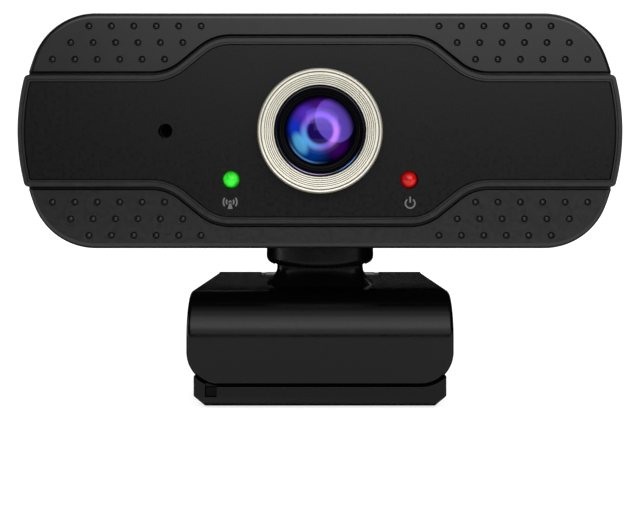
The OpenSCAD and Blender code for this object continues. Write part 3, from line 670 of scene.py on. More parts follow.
def felted_can():
    """A drawn metal can whose front face has a disc of black felt."""
    material, tree, shader = new_material("felted_can", Specular_IOR_Level=0.05)
    felt_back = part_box("microphone")[0].y + 0.05 * MM
    metal_part = calculate(tree, "GREATER_THAN", object_axes(tree)[1], felt_back)
    tone = tinted(tree, noise(tree, 1200, 5), (0.55, 0.55, 0.56), (0.65, 0.65, 0.66))
    wire(tree, shader, Base_Color=layered(tree, tone, (0.002, 0.002, 0.002), inverse(tree, metal_part)),
         Metallic=metal_part,
         Roughness=calculate(tree, "SUBTRACT", 0.95, times(tree, metal_part, 0.6)))
    return material


BEZEL_PLASTIC = moulded("bezel_plastic", 0.0035, 0.33, bump=0.16, specular=0.45)
# The groove, pit and band materials paint shade on their faces deeper than shade_from.
GROOVE_PLASTIC = moulded("groove_plastic", 0.0035, 0.33, bump=0.16, specular=0.45,
                         shade_from=FRONT_Y + 0.02 * MM)
PIT_PLASTIC = moulded("pit_plastic", 0.0045, 0.33, bump=0.16, specular=0.45,
                      shade_from=FRONT_Y + 0.14 * MM, shade=0.020)
BAND_PLASTIC = moulded("band_plastic", 0.0075, 0.34, grain=0.3 * MM, bump=0.16, specular=0.45,
                       shade_from=FRONT_Y - 0.15 * MM)
PLATE_PLASTIC = moulded("plate_plastic", 0.003, 0.3, grain=0.6 * MM, bump=0.05, variation=0.06, specular=0.22)
SHELL_PLASTIC = moulded("shell_plastic", 0.012, 0.4, bump=0.16, specular=0.5)
CLIP_PLASTIC = moulded("clip_plastic", 0.0008, 0.2, grain=0.6 * MM, bump=0.03, specular=0.2)
FOOT_PLASTIC = moulded("foot_plastic", 0.0018, 0.26, grain=0.5 * MM, bump=0.05, specular=0.15)
COLLAR_PLASTIC = moulded("collar_plastic", 0.0015, 0.28, grain=0.6 * MM, bump=0.01, specular=0.12)
HOOD_BLACK = moulded("hood_black", 0.0006, 0.4, grain=0.6 * MM, bump=0.02, variation=0.2, specular=0.06)
DEEP_BLACK = moulded("deep_black", 0.001, 0.6, variation=0.3, specular=0.1)
RUBBER = moulded("pad_rubber", 0.014, 0.78, grain=0.5 * MM, bump=0.5, variation=0.2)
BLACK_ACETAL = moulded("black_acetal", 0.004, 0.5, specular=0.15)
ACETAL = moulded("acetal", 0.62, 0.4, tint=(1, 0.97, 0.9))
NYLON = moulded("header_nylon", 0.68, 0.45, tint=(1, 0.96, 0.84))
CHIP = moulded("chip_black", 0.02, 0.55, grain=0.2 * MM)
SMALL_PARTS = moulded("small_parts", 0.22, 0.4, tint=(1, 0.85, 0.62), variation=0.4)
SENSOR = moulded("sensor_package", 0.08, 0.25, tint=(0.8, 1, 0.95))
FELTED_CAN = felted_can()
RING_SILVER = turned_silver()
STEEL = metal("steel", (0.62, 0.62, 0.63), 0.3)
BRASS = metal("brass", (0.83, 0.62, 0.28), 0.28)
BARREL_METAL = metal("black_anodised", (0.02, 0.02, 0.022), 0.35, metallic=0.6)
COATED_LENS = coated_lens()
BEAD_GLOSS = bead_gloss()
INNER_GLASS = glass("inner_glass", (0.7, 0.78, 0.95))
FILTER_GLASS = glass("filter_glass", (0.55, 0.85, 0.78))
GREEN_LAMP = lamp_glow("green_lamp", (0.022, 0.66, 0.018), (0.01, 0.24, 0.01), 0.46)
RED_LAMP = lamp_glow("red_lamp", (0.46, 0.003, 0.003), (0.18, 0.002, 0.002), 0.38)
INK = printed("symbol_ink", 0.10)
BOARD = circuit_board()


# ---- Head ----

def plate_hole(x, z, radius):
    """A cutter for a round hole in the face plate, with a chamfered mouth."""
    chamfer = 0.08 * MM
    profile = [(0, PLATE_Y - OVERRUN), (radius + chamfer, PLATE_Y - OVERRUN), (radius + chamfer, PLATE_Y),
               (radius, PLATE_Y + chamfer), (radius, BACK_Y), (0, BACK_Y)]
    return lathe(profile, "plate_hole", (x, 0, z), "Y", 48, closed=False)


def pit_tool(x, z):
    """A cutter for a round dimple with a low dome left in its middle."""
    section = [(0.02, -0.2), (0.02, 0), (0, 0.04), (-0.02, 0.48), (-0.18, 0.48), (-0.22, 0.22),
               (-0.32, 0.12), (-0.44, 0.08)]
    profile = [(0, FRONT_Y - 0.2 * MM)] + shifted(section, DOT_R, FRONT_Y) + [(0, FRONT_Y + 0.07 * MM)]
    return lathe(profile, "pit", (x, 0, z), "Y", 20, closed=False)


def dot_places():
    for sx in (-1, 1):
        for sz in (-1, 1):
            for row, drop in enumerate(DOT_ROWS):
                for i in range(DOTS_IN_ROW):
                    x = HEAD_W / 2 - DOT_FROM_END + row * DOT_ROW_SHIFT - i * DOT_PITCH
                    yield sx * x, HEAD_Z + sz * (HEAD_H / 2 - drop)


def make_bezel():
    levels = [(SEAM_CHAMFER, SEAM_Y), (0, SEAM_Y - SEAM_CHAMFER)]
    levels += [(inset, FRONT_Y + FRONT_EDGE_R - rise) for inset, rise in round_over(FRONT_EDGE_R, 8)]
    bezel = stack(head_outline, levels, "bezel_moulding")
    bezel.data.materials.append(BEZEL_PLASTIC)
    mouth = 0.12 * MM
    recess = [(-GROOVE, RECESS_Y), (-GROOVE, FRONT_Y + mouth), (-GROOVE - mouth, FRONT_Y),
              (-GROOVE - mouth, FRONT_Y - OVERRUN)]
    recess = stack(panel_outline, recess, "recess")
    groove = stack(panel_outline, [(-GROOVE, RECESS_Y - 0.1 * MM), (-GROOVE, SEAM_Y - 0.3 * MM)], "groove")
    core = stack(panel_outline, [(0.1 * MM, RECESS_Y - 0.2 * MM), (0.1 * MM, SEAM_Y)], "groove_core")
    combine(groove, [core])
    pits = merge([pit_tool(x, z) for x, z in dot_places()], "pits")
    # The recess, groove and pit walls take the materials with painted shade.
    for tool, material in ((recess, GROOVE_PLASTIC), (groove, GROOVE_PLASTIC), (pits, PIT_PLASTIC)):
        tool.data.materials.append(material)
        combine(bezel, [tool])
    combine(bezel, [rod("Y", (x, 0, z), r, FRONT_Y - OVERRUN, SEAM_Y + OVERRUN, "face_hole")
                    for x, z, r in FACE_HOLES])
    present(bezel, "head", ["front_bezel"], BEZEL_PLASTIC)


def make_band():
    """The raised band: its section runs out over a rounded edge, a fine step line and down to the plate."""
    steps = [(0, 0), (0.03, 0.75), (0.09, 0.93), (0.2, 1.0), (0.78, 1.0), (0.82, 0.9),
             (0.92, 0.9), (0.96, 1.0), (1.1, 1.0), (1.17, 0.95), (1.2, 0.88)]
    height = RECESS_Y - BAND_Y
    levels = [(inset * MM, RECESS_Y - up * height) for inset, up in steps] + [(BAND_W, RECESS_Y)]
    band = stack(panel_outline, levels, "panel_band", closed=True)
    present(band, "head", ["panel_frame"], BAND_PLASTIC, smooth_angle=28)


def make_plate():
    chamfer = 0.06 * MM
    inset = BAND_W + 0.03 * MM
    plate = stack(panel_outline, [(inset, RECESS_Y - 0.02 * MM), (inset, PLATE_Y + chamfer),
                                  (inset + chamfer, PLATE_Y)], "face_cover")
    combine(plate, [plate_hole(*hole) for hole in FACE_HOLES])
    present(plate, "head", ["face_plate"], PLATE_PLASTIC)


def add_swivel_boss(shell):
    """A round boss that carries the swivel, recessed from below for the collar."""
    boss_r = COLLAR_R + 2.1 * MM
    boss = rod("Z", (0, 0, 0), boss_r, shell_lo.z + 0.5 * MM, collar_hi.z - 0.1 * MM, "boss")
    combine(boss, [block((-FAR, SEAM_Y, 0), (FAR, BACK_Y - 1 * MM, 3 * FAR), 0, "trim")], "INTERSECT")
    combine(shell, [boss], "UNION")
    recess_r, shaft_r, mouth = boss_r - 1.8 * MM, 3.55 * MM, 0.25 * MM
    recess_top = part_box("pan_washer")[1].z
    below, above = shell_lo.z - OVERRUN, collar_hi.z + OVERRUN
    profile = [(0, below), (recess_r + mouth, below), (recess_r + mouth, shell_lo.z),
               (recess_r, shell_lo.z + mouth), (recess_r, recess_top), (shaft_r, recess_top),
               (shaft_r, above), (0, above)]
    combine(shell, [lathe(profile, "pan_cut", axis="Z", closed=False)])


def add_screw_tower(shell, x, z):
    """A tube inside the shell for one back screw, counterbored from behind."""
    combine(shell, [rod("Y", (x, 0, z), 2.8 * MM, 4.1 * MM, BACK_Y - 1.3 * MM, "tube", 32)], "UNION")
    bore_r, shank_r, mouth = 2.2 * MM, 1.1 * MM, 0.2 * MM
    outside, seat, end = BACK_Y + OVERRUN, BACK_Y - 6 * MM, 3 * MM
    profile = [(0, outside), (bore_r + mouth, outside), (bore_r + mouth, BACK_Y), (bore_r, BACK_Y - mouth),
               (bore_r, seat), (shank_r, seat), (shank_r, end), (0, end)]
    combine(shell, [lathe(profile, "counterbore", (x, 0, z), "Y", 40, closed=False)])


def make_rear_shell():
    y, wall = BACK_Y - BACK_EDGE_R, SHELL_WALL
    outer = [(SEAM_CHAMFER, SEAM_Y), (0, SEAM_Y + SEAM_CHAMFER)]
    outer += [(inset, y + rise) for inset, rise in round_over(BACK_EDGE_R, 14)]
    inner = [(wall, SEAM_Y - OVERRUN)]
    inner += [(wall + inset, y + rise) for inset, rise in round_over(BACK_EDGE_R - wall, 8)]
    shell = stack(head_outline, outer, "back_shell")
    combine(shell, [stack(head_outline, inner, "inner")])
    add_swivel_boss(shell)
    for x, z in screw_places():
        add_screw_tower(shell, x, z)
    gland_lo, gland_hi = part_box("cable_gland")
    gland_centre = (0, 0, (gland_lo.z + gland_hi.z) / 2)
    combine(shell, [rod("Y", gland_centre, 3.25 * MM, BACK_Y - 4 * MM, BACK_Y + OVERRUN, "gland_cut")])
    present(shell, "head", ["rear_shell"], SHELL_PLASTIC)


SCREW_HEAD_R = 1.9 * MM
SCREW_HEAD_H = 1.6 * MM
SCREW_SHANK_R = 0.8 * MM


def screw_places():
    lo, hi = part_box("shell_screws")
    return [(x, z) for x in (lo.x + SCREW_HEAD_R, hi.x - SCREW_HEAD_R)
            for z in (lo.z + SCREW_HEAD_R, hi.z - SCREW_HEAD_R)]


def cross_screw(x, z, head_y, tip_y):
    """A pan-head screw along Y with a cross recess in its head, which faces +Y."""
    r, h, shank_r = SCREW_HEAD_R, SCREW_HEAD_H, SCREW_SHANK_R
    profile = [(0, head_y + h), (r * 0.45, head_y + h - 0.08 * MM), (r * 0.8, head_y + h * 0.72),
               (r, head_y + h * 0.3), (r, head_y), (shank_r, head_y), (shank_r, tip_y + 1 * MM),
               (shank_r * 0.3, tip_y), (0, tip_y)]
    screw = lathe(profile, "screw", (x, 0, z), "Y", 32, closed=False)
    slot_w, slot_l, depth = 0.42 * MM, r * 1.1, 0.9 * MM
    bars = [block((x - a, head_y + h - depth, z - b), (x + a, head_y + h + OVERRUN, z + b), 0, "bar")
            for a, b in ((slot_w / 2, slot_l / 2), (slot_l / 2, slot_w / 2))]
    return combine(screw, bars)


def make_shell_screws():
    lo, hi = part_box("shell_screws")
    screws = [cross_screw(x, z, hi.y - SCREW_HEAD_H, lo.y) for x, z in screw_places()]
    present(merge(screws, "back_screws"), "head", ["shell_screws"], STEEL)


# ---- Lens ----

def make_ring():
    """The silver ring: base rim, outer rim, a groove with painted shade, then fine steps down to the bore."""
    y = RING_Y
    outer, bore = RING_R, RING_BORE_R
    sleeve = bore + 1.4 * MM
    base_rim = [(0.3, 0), (0.36, -0.06), (0.36, -0.42), (0.3, -0.5), (-0.1, -0.55), (-0.1, -0.9), (0, -1.05)]
    outer_rim = [(0, 0.2), (-0.06, 0.06), (-0.16, 0), (-0.30, 0.05), (-0.34, 0.36), (-0.50, 0.36),
                 (-0.54, 0.10)]
    bore_edge = [(0.2, 0.42), (0.06, 0.5), (0, 0.65)]
    profile = [(bore, SEAM_Y), (sleeve, SEAM_Y), (sleeve, PLATE_Y)]
    profile += shifted(base_rim, outer, PLATE_Y) + shifted(outer_rim, outer, y)
    depth = 0.24 * MM
    for i in range(GROOVES):
        r = GROOVE_R - i * GROOVE_PITCH
        fall = y + (0.10 + 0.06 * i) * MM
        profile += [(r, fall), (r - GROOVE_PITCH * GROOVE_FROM, fall + 0.02 * MM),
                    (r - GROOVE_PITCH * (GROOVE_FROM + 0.04), fall + depth),
                    (r - GROOVE_PITCH * GROOVE_TO, fall + depth)]
    profile += shifted(bore_edge, bore, y)
    ring = lathe(profile, "silver_ring", LENS_AXIS, steps=160)
    present(ring, "head", ["lens_ring"], RING_SILVER, smooth_angle=24)


def make_hood():
    """Black funnel inside the ring, with anti-glare steps."""
    y0, y1 = RING_Y + 0.7 * MM, FRONT_Y - 0.3 * MM
    r0, r1 = RING_BORE_R - 0.5 * MM, FRONT_LENS_R + 0.1 * MM
    rim, wall_r = 0.12 * MM, RING_BORE_R - 0.05 * MM
    profile = [(wall_r, y1), (wall_r, y0 + 0.1 * MM), (wall_r - 0.1 * MM, y0), (r0 + 0.1 * MM, y0),
               (r0, y0 + rim)]
    steps = 4
    for i in range(steps):
        y = y0 + rim + (y1 - y0 - rim) * (i + 1) / steps
        profile += [(r0 + (r1 - r0) * i / steps - 0.02 * MM, y - 0.08 * MM),
                    (r0 + (r1 - r0) * (i + 1) / steps, y)]
    hood = lathe(profile, "hood_cone", LENS_AXIS, steps=128)
    present(hood, "head", ["lens_hood"], HOOD_BLACK, smooth_angle=35)


def make_hood_bead():
    """The polished inner edge of the hood: a thin bead with a painted violet reflection at the bottom."""
    section = arc(RING_BORE_R - 0.36 * MM, RING_Y + 0.66 * MM, 0.07 * MM, 0, 2 * math.pi, 8)
    bead = lathe(section, "hood_bead", LENS_AXIS, steps=128)
    present(bead, "head", [], BEAD_GLOSS)


def make_retainer():
    lo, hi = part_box("lens_retainer")
    inner, outer, edge = LENS_EDGE_R + 0.03 * MM, FRONT_LENS_R + 0.04 * MM, 0.1 * MM
    profile = [(inner, hi.y), (inner, lo.y + edge * 2), (inner + edge * 0.6, lo.y + edge * 0.5),
               (inner + edge * 1.6, lo.y), (outer - edge, lo.y), (outer, lo.y + edge), (outer, hi.y)]
    retainer = lathe(profile, "retaining_ring", LENS_AXIS, steps=128)
    present(retainer, "head", ["lens_retainer"], HOOD_BLACK)


def dome(radius, edge_angle, y, steps):
    """Profile points of a dome with its pole at y, out to an angle from its axis."""
    return [(radius * math.sin(edge_angle * i / steps), y + radius * (1 - math.cos(edge_angle * i / steps)))
            for i in range(steps + 1)]


def make_front_lens():
    lo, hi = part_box("front_lens")
    dome_r = 9 * MM
    profile = dome(dome_r, math.asin(LENS_EDGE_R / dome_r), lo.y, 18) + [(LENS_EDGE_R, hi.y), (0, hi.y)]
    lens = lathe(profile, "front_dome", LENS_AXIS, steps=128, closed=False)
    present(lens, "head", ["front_lens"], COATED_LENS, smooth_angle=40)


def make_lamp(name, node_name, side, material):
    lo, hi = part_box(node_name)
    x = side * LAMP_X
    flange_y, flange_r = SEAM_Y + 0.85 * MM, LAMP_R + 0.5 * MM
    body_end, chamfer = flange_y + 0.75 * MM, 0.05 * MM
    profile = dome(LAMP_R, 0.5 * math.pi, lo.y, 10)
    profile += [(LAMP_R, flange_y), (flange_r - chamfer, flange_y), (flange_r, flange_y + chamfer),
                (flange_r, body_end), (0, body_end)]
    body = lathe(profile, "lamp_body", (x, 0, LAMP_Z), "Y", 48, closed=False)
    leads = [rod("Y", (x + leg * 1.27 * MM, 0, LAMP_Z), 0.25 * MM, body_end - 0.02 * MM, hi.y, "lead", 12)
             for leg in (-1, 1)]
    present(merge([body] + leads, name), "head", [node_name], material)


# ---- Printed symbols ----

def flat_ring(cx, cz, inner, outer, start, end, steps, y0, y1):
    """A thin arc-shaped strip lying on the plate, from one angle to another in degrees."""
    angles = [math.radians(start + (end - start) * i / steps) for i in range(steps + 1)]
    outline = [(cx + outer * math.cos(a), cz + outer * math.sin(a)) for a in angles]
    outline += [(cx + inner * math.cos(a), cz + inner * math.sin(a)) for a in reversed(angles)]
    return prism(outline, y0, y1, "strip")


def make_symbols():
    y0, y1 = PLATE_Y - 0.012 * MM, PLATE_Y + 0.01 * MM
    line = 0.13 * MM
    parts = []
    x, z = -LAMP_X - 0.1 * MM, SYMBOL_Z + 0.12 * MM
    for radius in (0.62 * MM, 1.12 * MM):
        for middle in (0, 180):
            parts.append(flat_ring(x, z, radius - line, radius + line, middle - 38, middle + 38, 12, y0, y1))
    parts.append(flat_ring(x, z, 0, 0.27 * MM, 0, 359.9, 20, y0, y1))
    foot_z = z - 1.15 * MM
    mast = [(x - 0.12 * MM, z), (x + 0.12 * MM, z), (x + 0.42 * MM, foot_z), (x - 0.42 * MM, foot_z)]
    parts.append(prism(mast, y0, y1, "mast"))
    present(merge(parts, "signal_mark"), "head", [], INK)
    x, z, r = LAMP_X + 0.15 * MM, SYMBOL_Z - 0.1 * MM, 0.78 * MM
    power = [flat_ring(x, z, r - line, r + line, 128, 412, 36, y0, y1),
             prism([(x - line, z + 0.1 * MM), (x + line, z + 0.1 * MM), (x + line, z + 1.12 * MM),
                    (x - line, z + 1.12 * MM)], y0, y1, "bar")]
    present(merge(power, "power_mark"), "head", [], INK)


# ---- Swivel, neck and clip ----

def pin_bore(y, z, radius):
    """A cutter for a pin's hole along X, longer than any piece it runs through."""
    return rod("X", (0, y, z), radius, -FAR, FAR, "pin_cut", 40)


def make_collar():
    r, edge, chamfer = COLLAR_R, 1.2 * MM, 0.2 * MM
    shaft_r, bore = 3.5 * MM, 1.4 * MM
    lo_z, hi_z, shaft_z = collar_lo.z, collar_hi.z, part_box("pan_washer")[0].z - 0.05 * MM
    profile = [(bore, hi_z), (shaft_r - chamfer, hi_z), (shaft_r, hi_z - chamfer), (shaft_r, shaft_z),
               (r - chamfer, shaft_z), (r, shaft_z - chamfer)]
    profile += [(r - inset, lo_z + edge - rise) for inset, rise in round_over(edge, 8)] + [(bore, lo_z)]
    collar = lathe(profile, "pan_collar", axis="Z", steps=128)
    half_w, ceiling, half_d = 7.9 * MM, 3.7 * MM, 5.1 * MM
    flare_z = PIVOT_Z - 0.5 * MM
    slot = [(-half_d, lo_z - OVERRUN), (half_d, lo_z - OVERRUN), (half_d, lo_z), (ceiling, flare_z),
            (ceiling, PIVOT_Z)]
    slot += arc(0, PIVOT_Z, ceiling, 0, math.pi, 12) + [(-ceiling, flare_z), (-half_d, lo_z)]
    combine(collar, [prism(slot, -half_w, half_w, "slot", "X")])
    combine(collar, [pin_bore(0, PIVOT_Z, 1.25 * MM)])
    present(collar, "swivel", ["swivel_collar"], COLLAR_PLASTIC)


def rounded_rectangle(half_w, half_d, radius, steps=6):
    """Outline of a rectangle with rounded corners, round its centre."""
    radius = min(radius, half_w * 0.999, half_d * 0.999)
    points = []
    for sx, sy, start in ((1, -1, -0.5), (1, 1, 0), (-1, 1, 0.5), (-1, -1, 1)):
        cx, cy = sx * (half_w - radius), sy * (half_d - radius)
        points += [(cx + radius * math.cos(math.pi * (start + 0.5 * i / steps)),
                    cy + radius * math.sin(math.pi * (start + 0.5 * i / steps))) for i in range(steps + 1)]
    return points


def make_neck():
    """The neck flares into the clip below and ends in a barrel round the tilt pin above."""
    base_w, base_d = (neck_hi.x - neck_lo.x) / 2, (neck_hi.y - neck_lo.y) / 2
    top_w, top_d, corner = 7.6 * MM, 3.2 * MM, 2.4 * MM
    flare_h, barrel_r = 3.1 * MM, 3.4 * MM
    levels = [((1 - i / 12) ** 2.2, neck_lo.z + flare_h * i / 12) for i in range(13)] + [(0, PIVOT_Z)]
    neck = loft([[(x, y, z) for x, y in rounded_rectangle(
        top_w + (base_w - top_w) * widen, top_d + (base_d - top_d) * widen, corner)]
        for widen, z in levels], "flared_neck")
    barrel = rod("X", (0, 0, PIVOT_Z), barrel_r, -top_w, top_w, "barrel", chamfer=0.2 * MM)
    combine(neck, [barrel], "UNION")
    combine(neck, [pin_bore(0, PIVOT_Z, 1.3 * MM),
                   rod("Z", (0, 0, 0), 1.25 * MM, neck_lo.z - OVERRUN, neck_lo.z + 4 * MM, "screw_cut", 32)])
    present(neck, "bracket", ["neck_post"], COLLAR_PLASTIC)


CLIP_T = 3.0 * MM
BEND_R = 7.0 * MM
KNUCKLE_R = 3.9 * MM
BACK_HALF_W = 19.1 * MM
LIP_CORNER_R = 5.4 * MM
CLIP_EDGE_R = 0.85 * MM
RIM_STEPS = 5


def clip_sections():
    """Rounded sections square to the clip's thickness, from the hinge over the bend to the lip."""
    front, top = clip_lo.y, clip_hi.z
    bend_y, bend_z = front + BEND_R, top - BEND_R
    middle_r = BEND_R - CLIP_T / 2
    sections = []

    def add(y, z, out_y, out_z, half_w):
        outline = rounded_rectangle(half_w, CLIP_T / 2, CLIP_EDGE_R, RIM_STEPS)
        sections.append([(x, y + d * out_y, z + d * out_z) for x, d in outline])

    for i in range(9):
        t = 1 - i / 8
        y = bend_y + (HINGE_Y - bend_y) * t
        taper = (y - bend_y) / (HINGE_Y + KNUCKLE_R - bend_y)
        add(y, top - CLIP_T / 2, 0, 1, LIP_HALF_W + (BACK_HALF_W - LIP_HALF_W) * taper)
    bend_steps = 24
    for i in range(1, bend_steps + 1):
        back, up = (f(0.5 * math.pi * i / bend_steps) for f in (math.sin, math.cos))
        add(bend_y - middle_r * back, bend_z + middle_r * up, -back, up, LIP_HALF_W)
    return sections


def lip_loops():
    """Outlines of the lip, open at the bend, from its front face round its rim to its back face."""
    half_w, bend_z = LIP_HALF_W, clip_hi.z - BEND_R
    cx, cz = half_w - LIP_CORNER_R, clip_lo.z + LIP_CORNER_R
    rim = [(CLIP_EDGE_R - rise, inset) for inset, rise in round_over(CLIP_EDGE_R, RIM_STEPS)]
    rim += [(inset, CLIP_T - depth) for inset, depth in reversed(rim)]
    loops = []
    for inset, depth in rim:
        right = [(half_w - inset, bend_z), (half_w - inset, cz)]
        right += arc(cx, cz, LIP_CORNER_R - inset, 0, -0.5 * math.pi, 18)
        loops.append([(x, clip_lo.y + depth, z) for x, z in both_sides(right)])
    return loops


def clip_shape():
    """Top plate, bend and lip as one closed skin with a rounded rim."""
    bm = bmesh.new()
    sections = bridge(bm, clip_sections())
    lip = bridge(bm, lip_loops(), wrap=False)
    for end in (sections[0], lip[0], lip[-1]):
        bm.faces.new(end)
    return to_object(bm, "clip_bracket")


def knuckle(lo, hi):
    """A hinge barrel along X, with rounded ends."""
    edge = 0.12 * MM
    ends = [(KNUCKLE_R - inset, rise) for inset, rise in round_over(edge, 5)]
    profile = [(0, lo)] + [(r, lo + edge - rise) for r, rise in reversed(ends)]
    profile += [(r, hi - edge + rise) for r, rise in ends] + [(0, hi)]
    return lathe(profile, "knuckle", (0, HINGE_Y, HINGE_Z), "X", 72, closed=False)


def make_bracket():
    clip = clip_shape()
    inner, outer = 11.2 * MM, BACK_HALF_W + 0.1 * MM
    for lo, hi in ((-outer, -inner), (inner, outer)):
        combine(clip, [knuckle(lo, hi)], "UNION")
    reach = KNUCKLE_R + 0.3 * MM
    combine(clip, [block((-inner, HINGE_Y - reach, clip_lo.z), (inner, HINGE_Y + reach + OVERRUN, FAR),
                         0, "notch")])
    head_r, shank_r = 3 * MM, 1.45 * MM
    below, above = clip_hi.z - CLIP_T - 2 * MM, clip_hi.z + OVERRUN
    seat_z = clip_hi.z - CLIP_T + 1.6 * MM
    screw = [(0, below), (head_r, below), (head_r, seat_z), (shank_r, seat_z), (shank_r, above), (0, above)]
    combine(clip, [pin_bore(HINGE_Y, HINGE_Z, 1.55 * MM),
                   lathe(screw, "screw_cut", axis="Z", steps=40, closed=False)])
    present(clip, "bracket", ["top_bracket"], CLIP_PLASTIC)


def lip_room(grow):
    """The lip's outline enlarged by a clearance, as (x, z) points."""
    cx, cz = LIP_HALF_W - LIP_CORNER_R, clip_lo.z + LIP_CORNER_R
    right = [(cx, clip_lo.z - grow)] + arc(cx, cz, LIP_CORNER_R + grow, -0.5 * math.pi, 0, 20)
    return both_sides(right + [(LIP_HALF_W + grow, clip_hi.z)])


def make_foot():
    front, back, z0 = foot_lo.y, foot_hi.y, foot_lo.z
    top, wall_y, wall_top = z0 + 5.3 * MM, back - 3.4 * MM, HINGE_Z - KNUCKLE_R - 0.5 * MM
    half_w, chamfer, heel = (foot_hi.x - foot_lo.x) / 2, 1.8 * MM, 3 * MM
    bevel_h, bevel_d = 1.6 * MM, 0.8 * MM
    side = [(front, z0 + bevel_h), (front + bevel_d, z0), (back - heel, z0)]
    side += arc(back - heel, z0 + heel, heel, -0.5 * math.pi, 0, 8)
    side += [(back, wall_top), (wall_y, wall_top), (wall_y, top), (front, top)]
    foot = prism(side, -FAR, FAR, "folding_foot", "X")
    face = [(half_w, FAR), (half_w, z0 + chamfer), (half_w - chamfer, z0)]
    plan = [(half_w, front - OVERRUN), (half_w, front), (BACK_HALF_W, back), (BACK_HALF_W, back + OVERRUN)]
    combine(foot, [prism(both_sides(face), front - OVERRUN, back + OVERRUN, "face")], "INTERSECT")
    combine(foot, [prism(both_sides(plan), -OVERRUN, FAR, "plan", "Z")], "INTERSECT")
    step_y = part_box("lip_pad")[1].y + 0.5 * MM
    combine(foot, [prism(lip_room(0.15 * MM), front - OVERRUN, step_y, "lip_cut")])
    soften(foot, 0.2 * MM, 3, 30)
    knuckle_x = 10.4 * MM
    combine(foot, [block((-knuckle_x, wall_y, wall_top - 2 * MM), (knuckle_x, back, HINGE_Z), 0, "web")],
            "UNION")
    combine(foot, [knuckle(-knuckle_x, knuckle_x)], "UNION")
    pad_lo, pad_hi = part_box("foot_pad")
    insert_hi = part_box("tripod_insert")[1]
    play = 0.1 * MM
    combine(foot, [block((pad_lo.x - play, pad_lo.y - play, z0 - OVERRUN),
                         (pad_hi.x + play, pad_hi.y + play, pad_hi.z), 0, "pad_cut")])
    left, right, deep = -18.75 * MM, -16.85 * MM, front + 1 * MM
    sill, margin = z0 + bevel_h, 0.05 * MM
    combine(foot, [rod("Z", (0, 0, 0), insert_hi.x, z0 - OVERRUN, insert_hi.z, "insert_cut"),
                   pin_bore(HINGE_Y, HINGE_Z, 1.5 * MM),
                   block((left, front - OVERRUN, sill), (right, deep, top + OVERRUN), 0, "mark")])
    present(foot, "foot", ["foot"], FOOT_PLASTIC)
    # Painted shade: a very dark block fills the back of the mark's notch, so that the notch reads dark.
    mark_shade_filler = block((left + margin, front + 0.35 * MM, sill + margin),
                   (right - margin, deep - margin, z0 + 3.1 * MM), 0.08 * MM, "foot_mark_shade")
    present(mark_shade_filler, "foot", [], HOOD_BLACK)


def make_pad(node_name, name, body, hole_r=None, ribs=0):
    """A rubber pad with softened edges, a screw hole and grooves between ribs where asked for."""
    lo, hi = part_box(node_name)
    edge, groove_half_w, margin = 0.22 * MM, 0.25 * MM, 1 * MM
    pad = block(lo, hi, edge, name)
    if hole_r:
        combine(pad, [rod("Z", (0, 0, 0), hole_r, lo.z - OVERRUN, hi.z + OVERRUN, "hole", 48)])
    if ribs:
        middles = [lo.x + (hi.x - lo.x) * (i + 1) / (ribs + 1) for i in range(ribs)]
        tools = [block((x - groove_half_w, lo.y + margin, hi.z - edge),
                       (x + groove_half_w, hi.y - margin, hi.z + OVERRUN), 0, "rib") for x in middles]
        combine(pad, [merge(tools, "ribs")])
    present(pad, body, [node_name], RUBBER)


def make_gland():
    lo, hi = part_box("cable_gland")
    bore, neck_r, flange_r, soft = 1.75 * MM, 3.2 * MM, 4.2 * MM, 0.35 * MM
    inside = BACK_Y - SHELL_WALL
    profile = [(bore, hi.y - soft), (bore + soft * 0.3, hi.y - soft * 0.3), (bore + soft, hi.y)]
    profile += [(flange_r - inset, hi.y - soft + rise) for inset, rise in reversed(round_over(soft, 5))]
    profile += [(flange_r, BACK_Y), (neck_r, BACK_Y), (neck_r, inside), (flange_r, inside),
                (flange_r, lo.y), (bore, lo.y)]
    gland = lathe(profile, "cable_grommet", (0, 0, (lo.z + hi.z) / 2), steps=64)
    present(gland, "head", ["cable_gland"], RUBBER)


def make_insert():
    """Brass insert with a real helical thread in its bore."""
    lo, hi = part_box("tripod_insert")
    outer, minor, edge = (hi.x - lo.x) / 2, 2.55 * MM, 0.2 * MM
    floor = hi.z - 0.5 * MM
    circle = [2 * math.pi * i / 48 for i in range(48)]
    rows = 40

    def hoop(radius, z):
        return [(radius * math.cos(a), radius * math.sin(a), z) for a in circle]

    loops = [hoop(minor * 0.5, floor)]
    for row in range(rows, -1, -1):
        z = lo.z + (floor - lo.z) * row / rows
        ease = min(1.0, row / 3, (rows - row) / 3)
        loops.append([thread_point(minor, ease, z, a) for a in circle])
    loops += [hoop(minor + edge, lo.z), hoop(outer - edge, lo.z), hoop(outer, lo.z + edge),
              hoop(outer, hi.z), hoop(outer * 0.5, hi.z)]
    present(loft(loops, "thread_insert"), "foot", ["tripod_insert"], BRASS)


def thread_point(minor, ease, z, angle):
    """A point on a quarter-inch tripod thread whose depth is scaled by ease."""
    depth, pitch = 0.45 * MM, 1.27 * MM
    phase = (z / pitch - angle / (2 * math.pi)) % 1.0
    radius = minor + depth * ease * (1 - abs(2 * phase - 1))
    return (radius * math.cos(angle), radius * math.sin(angle), z)


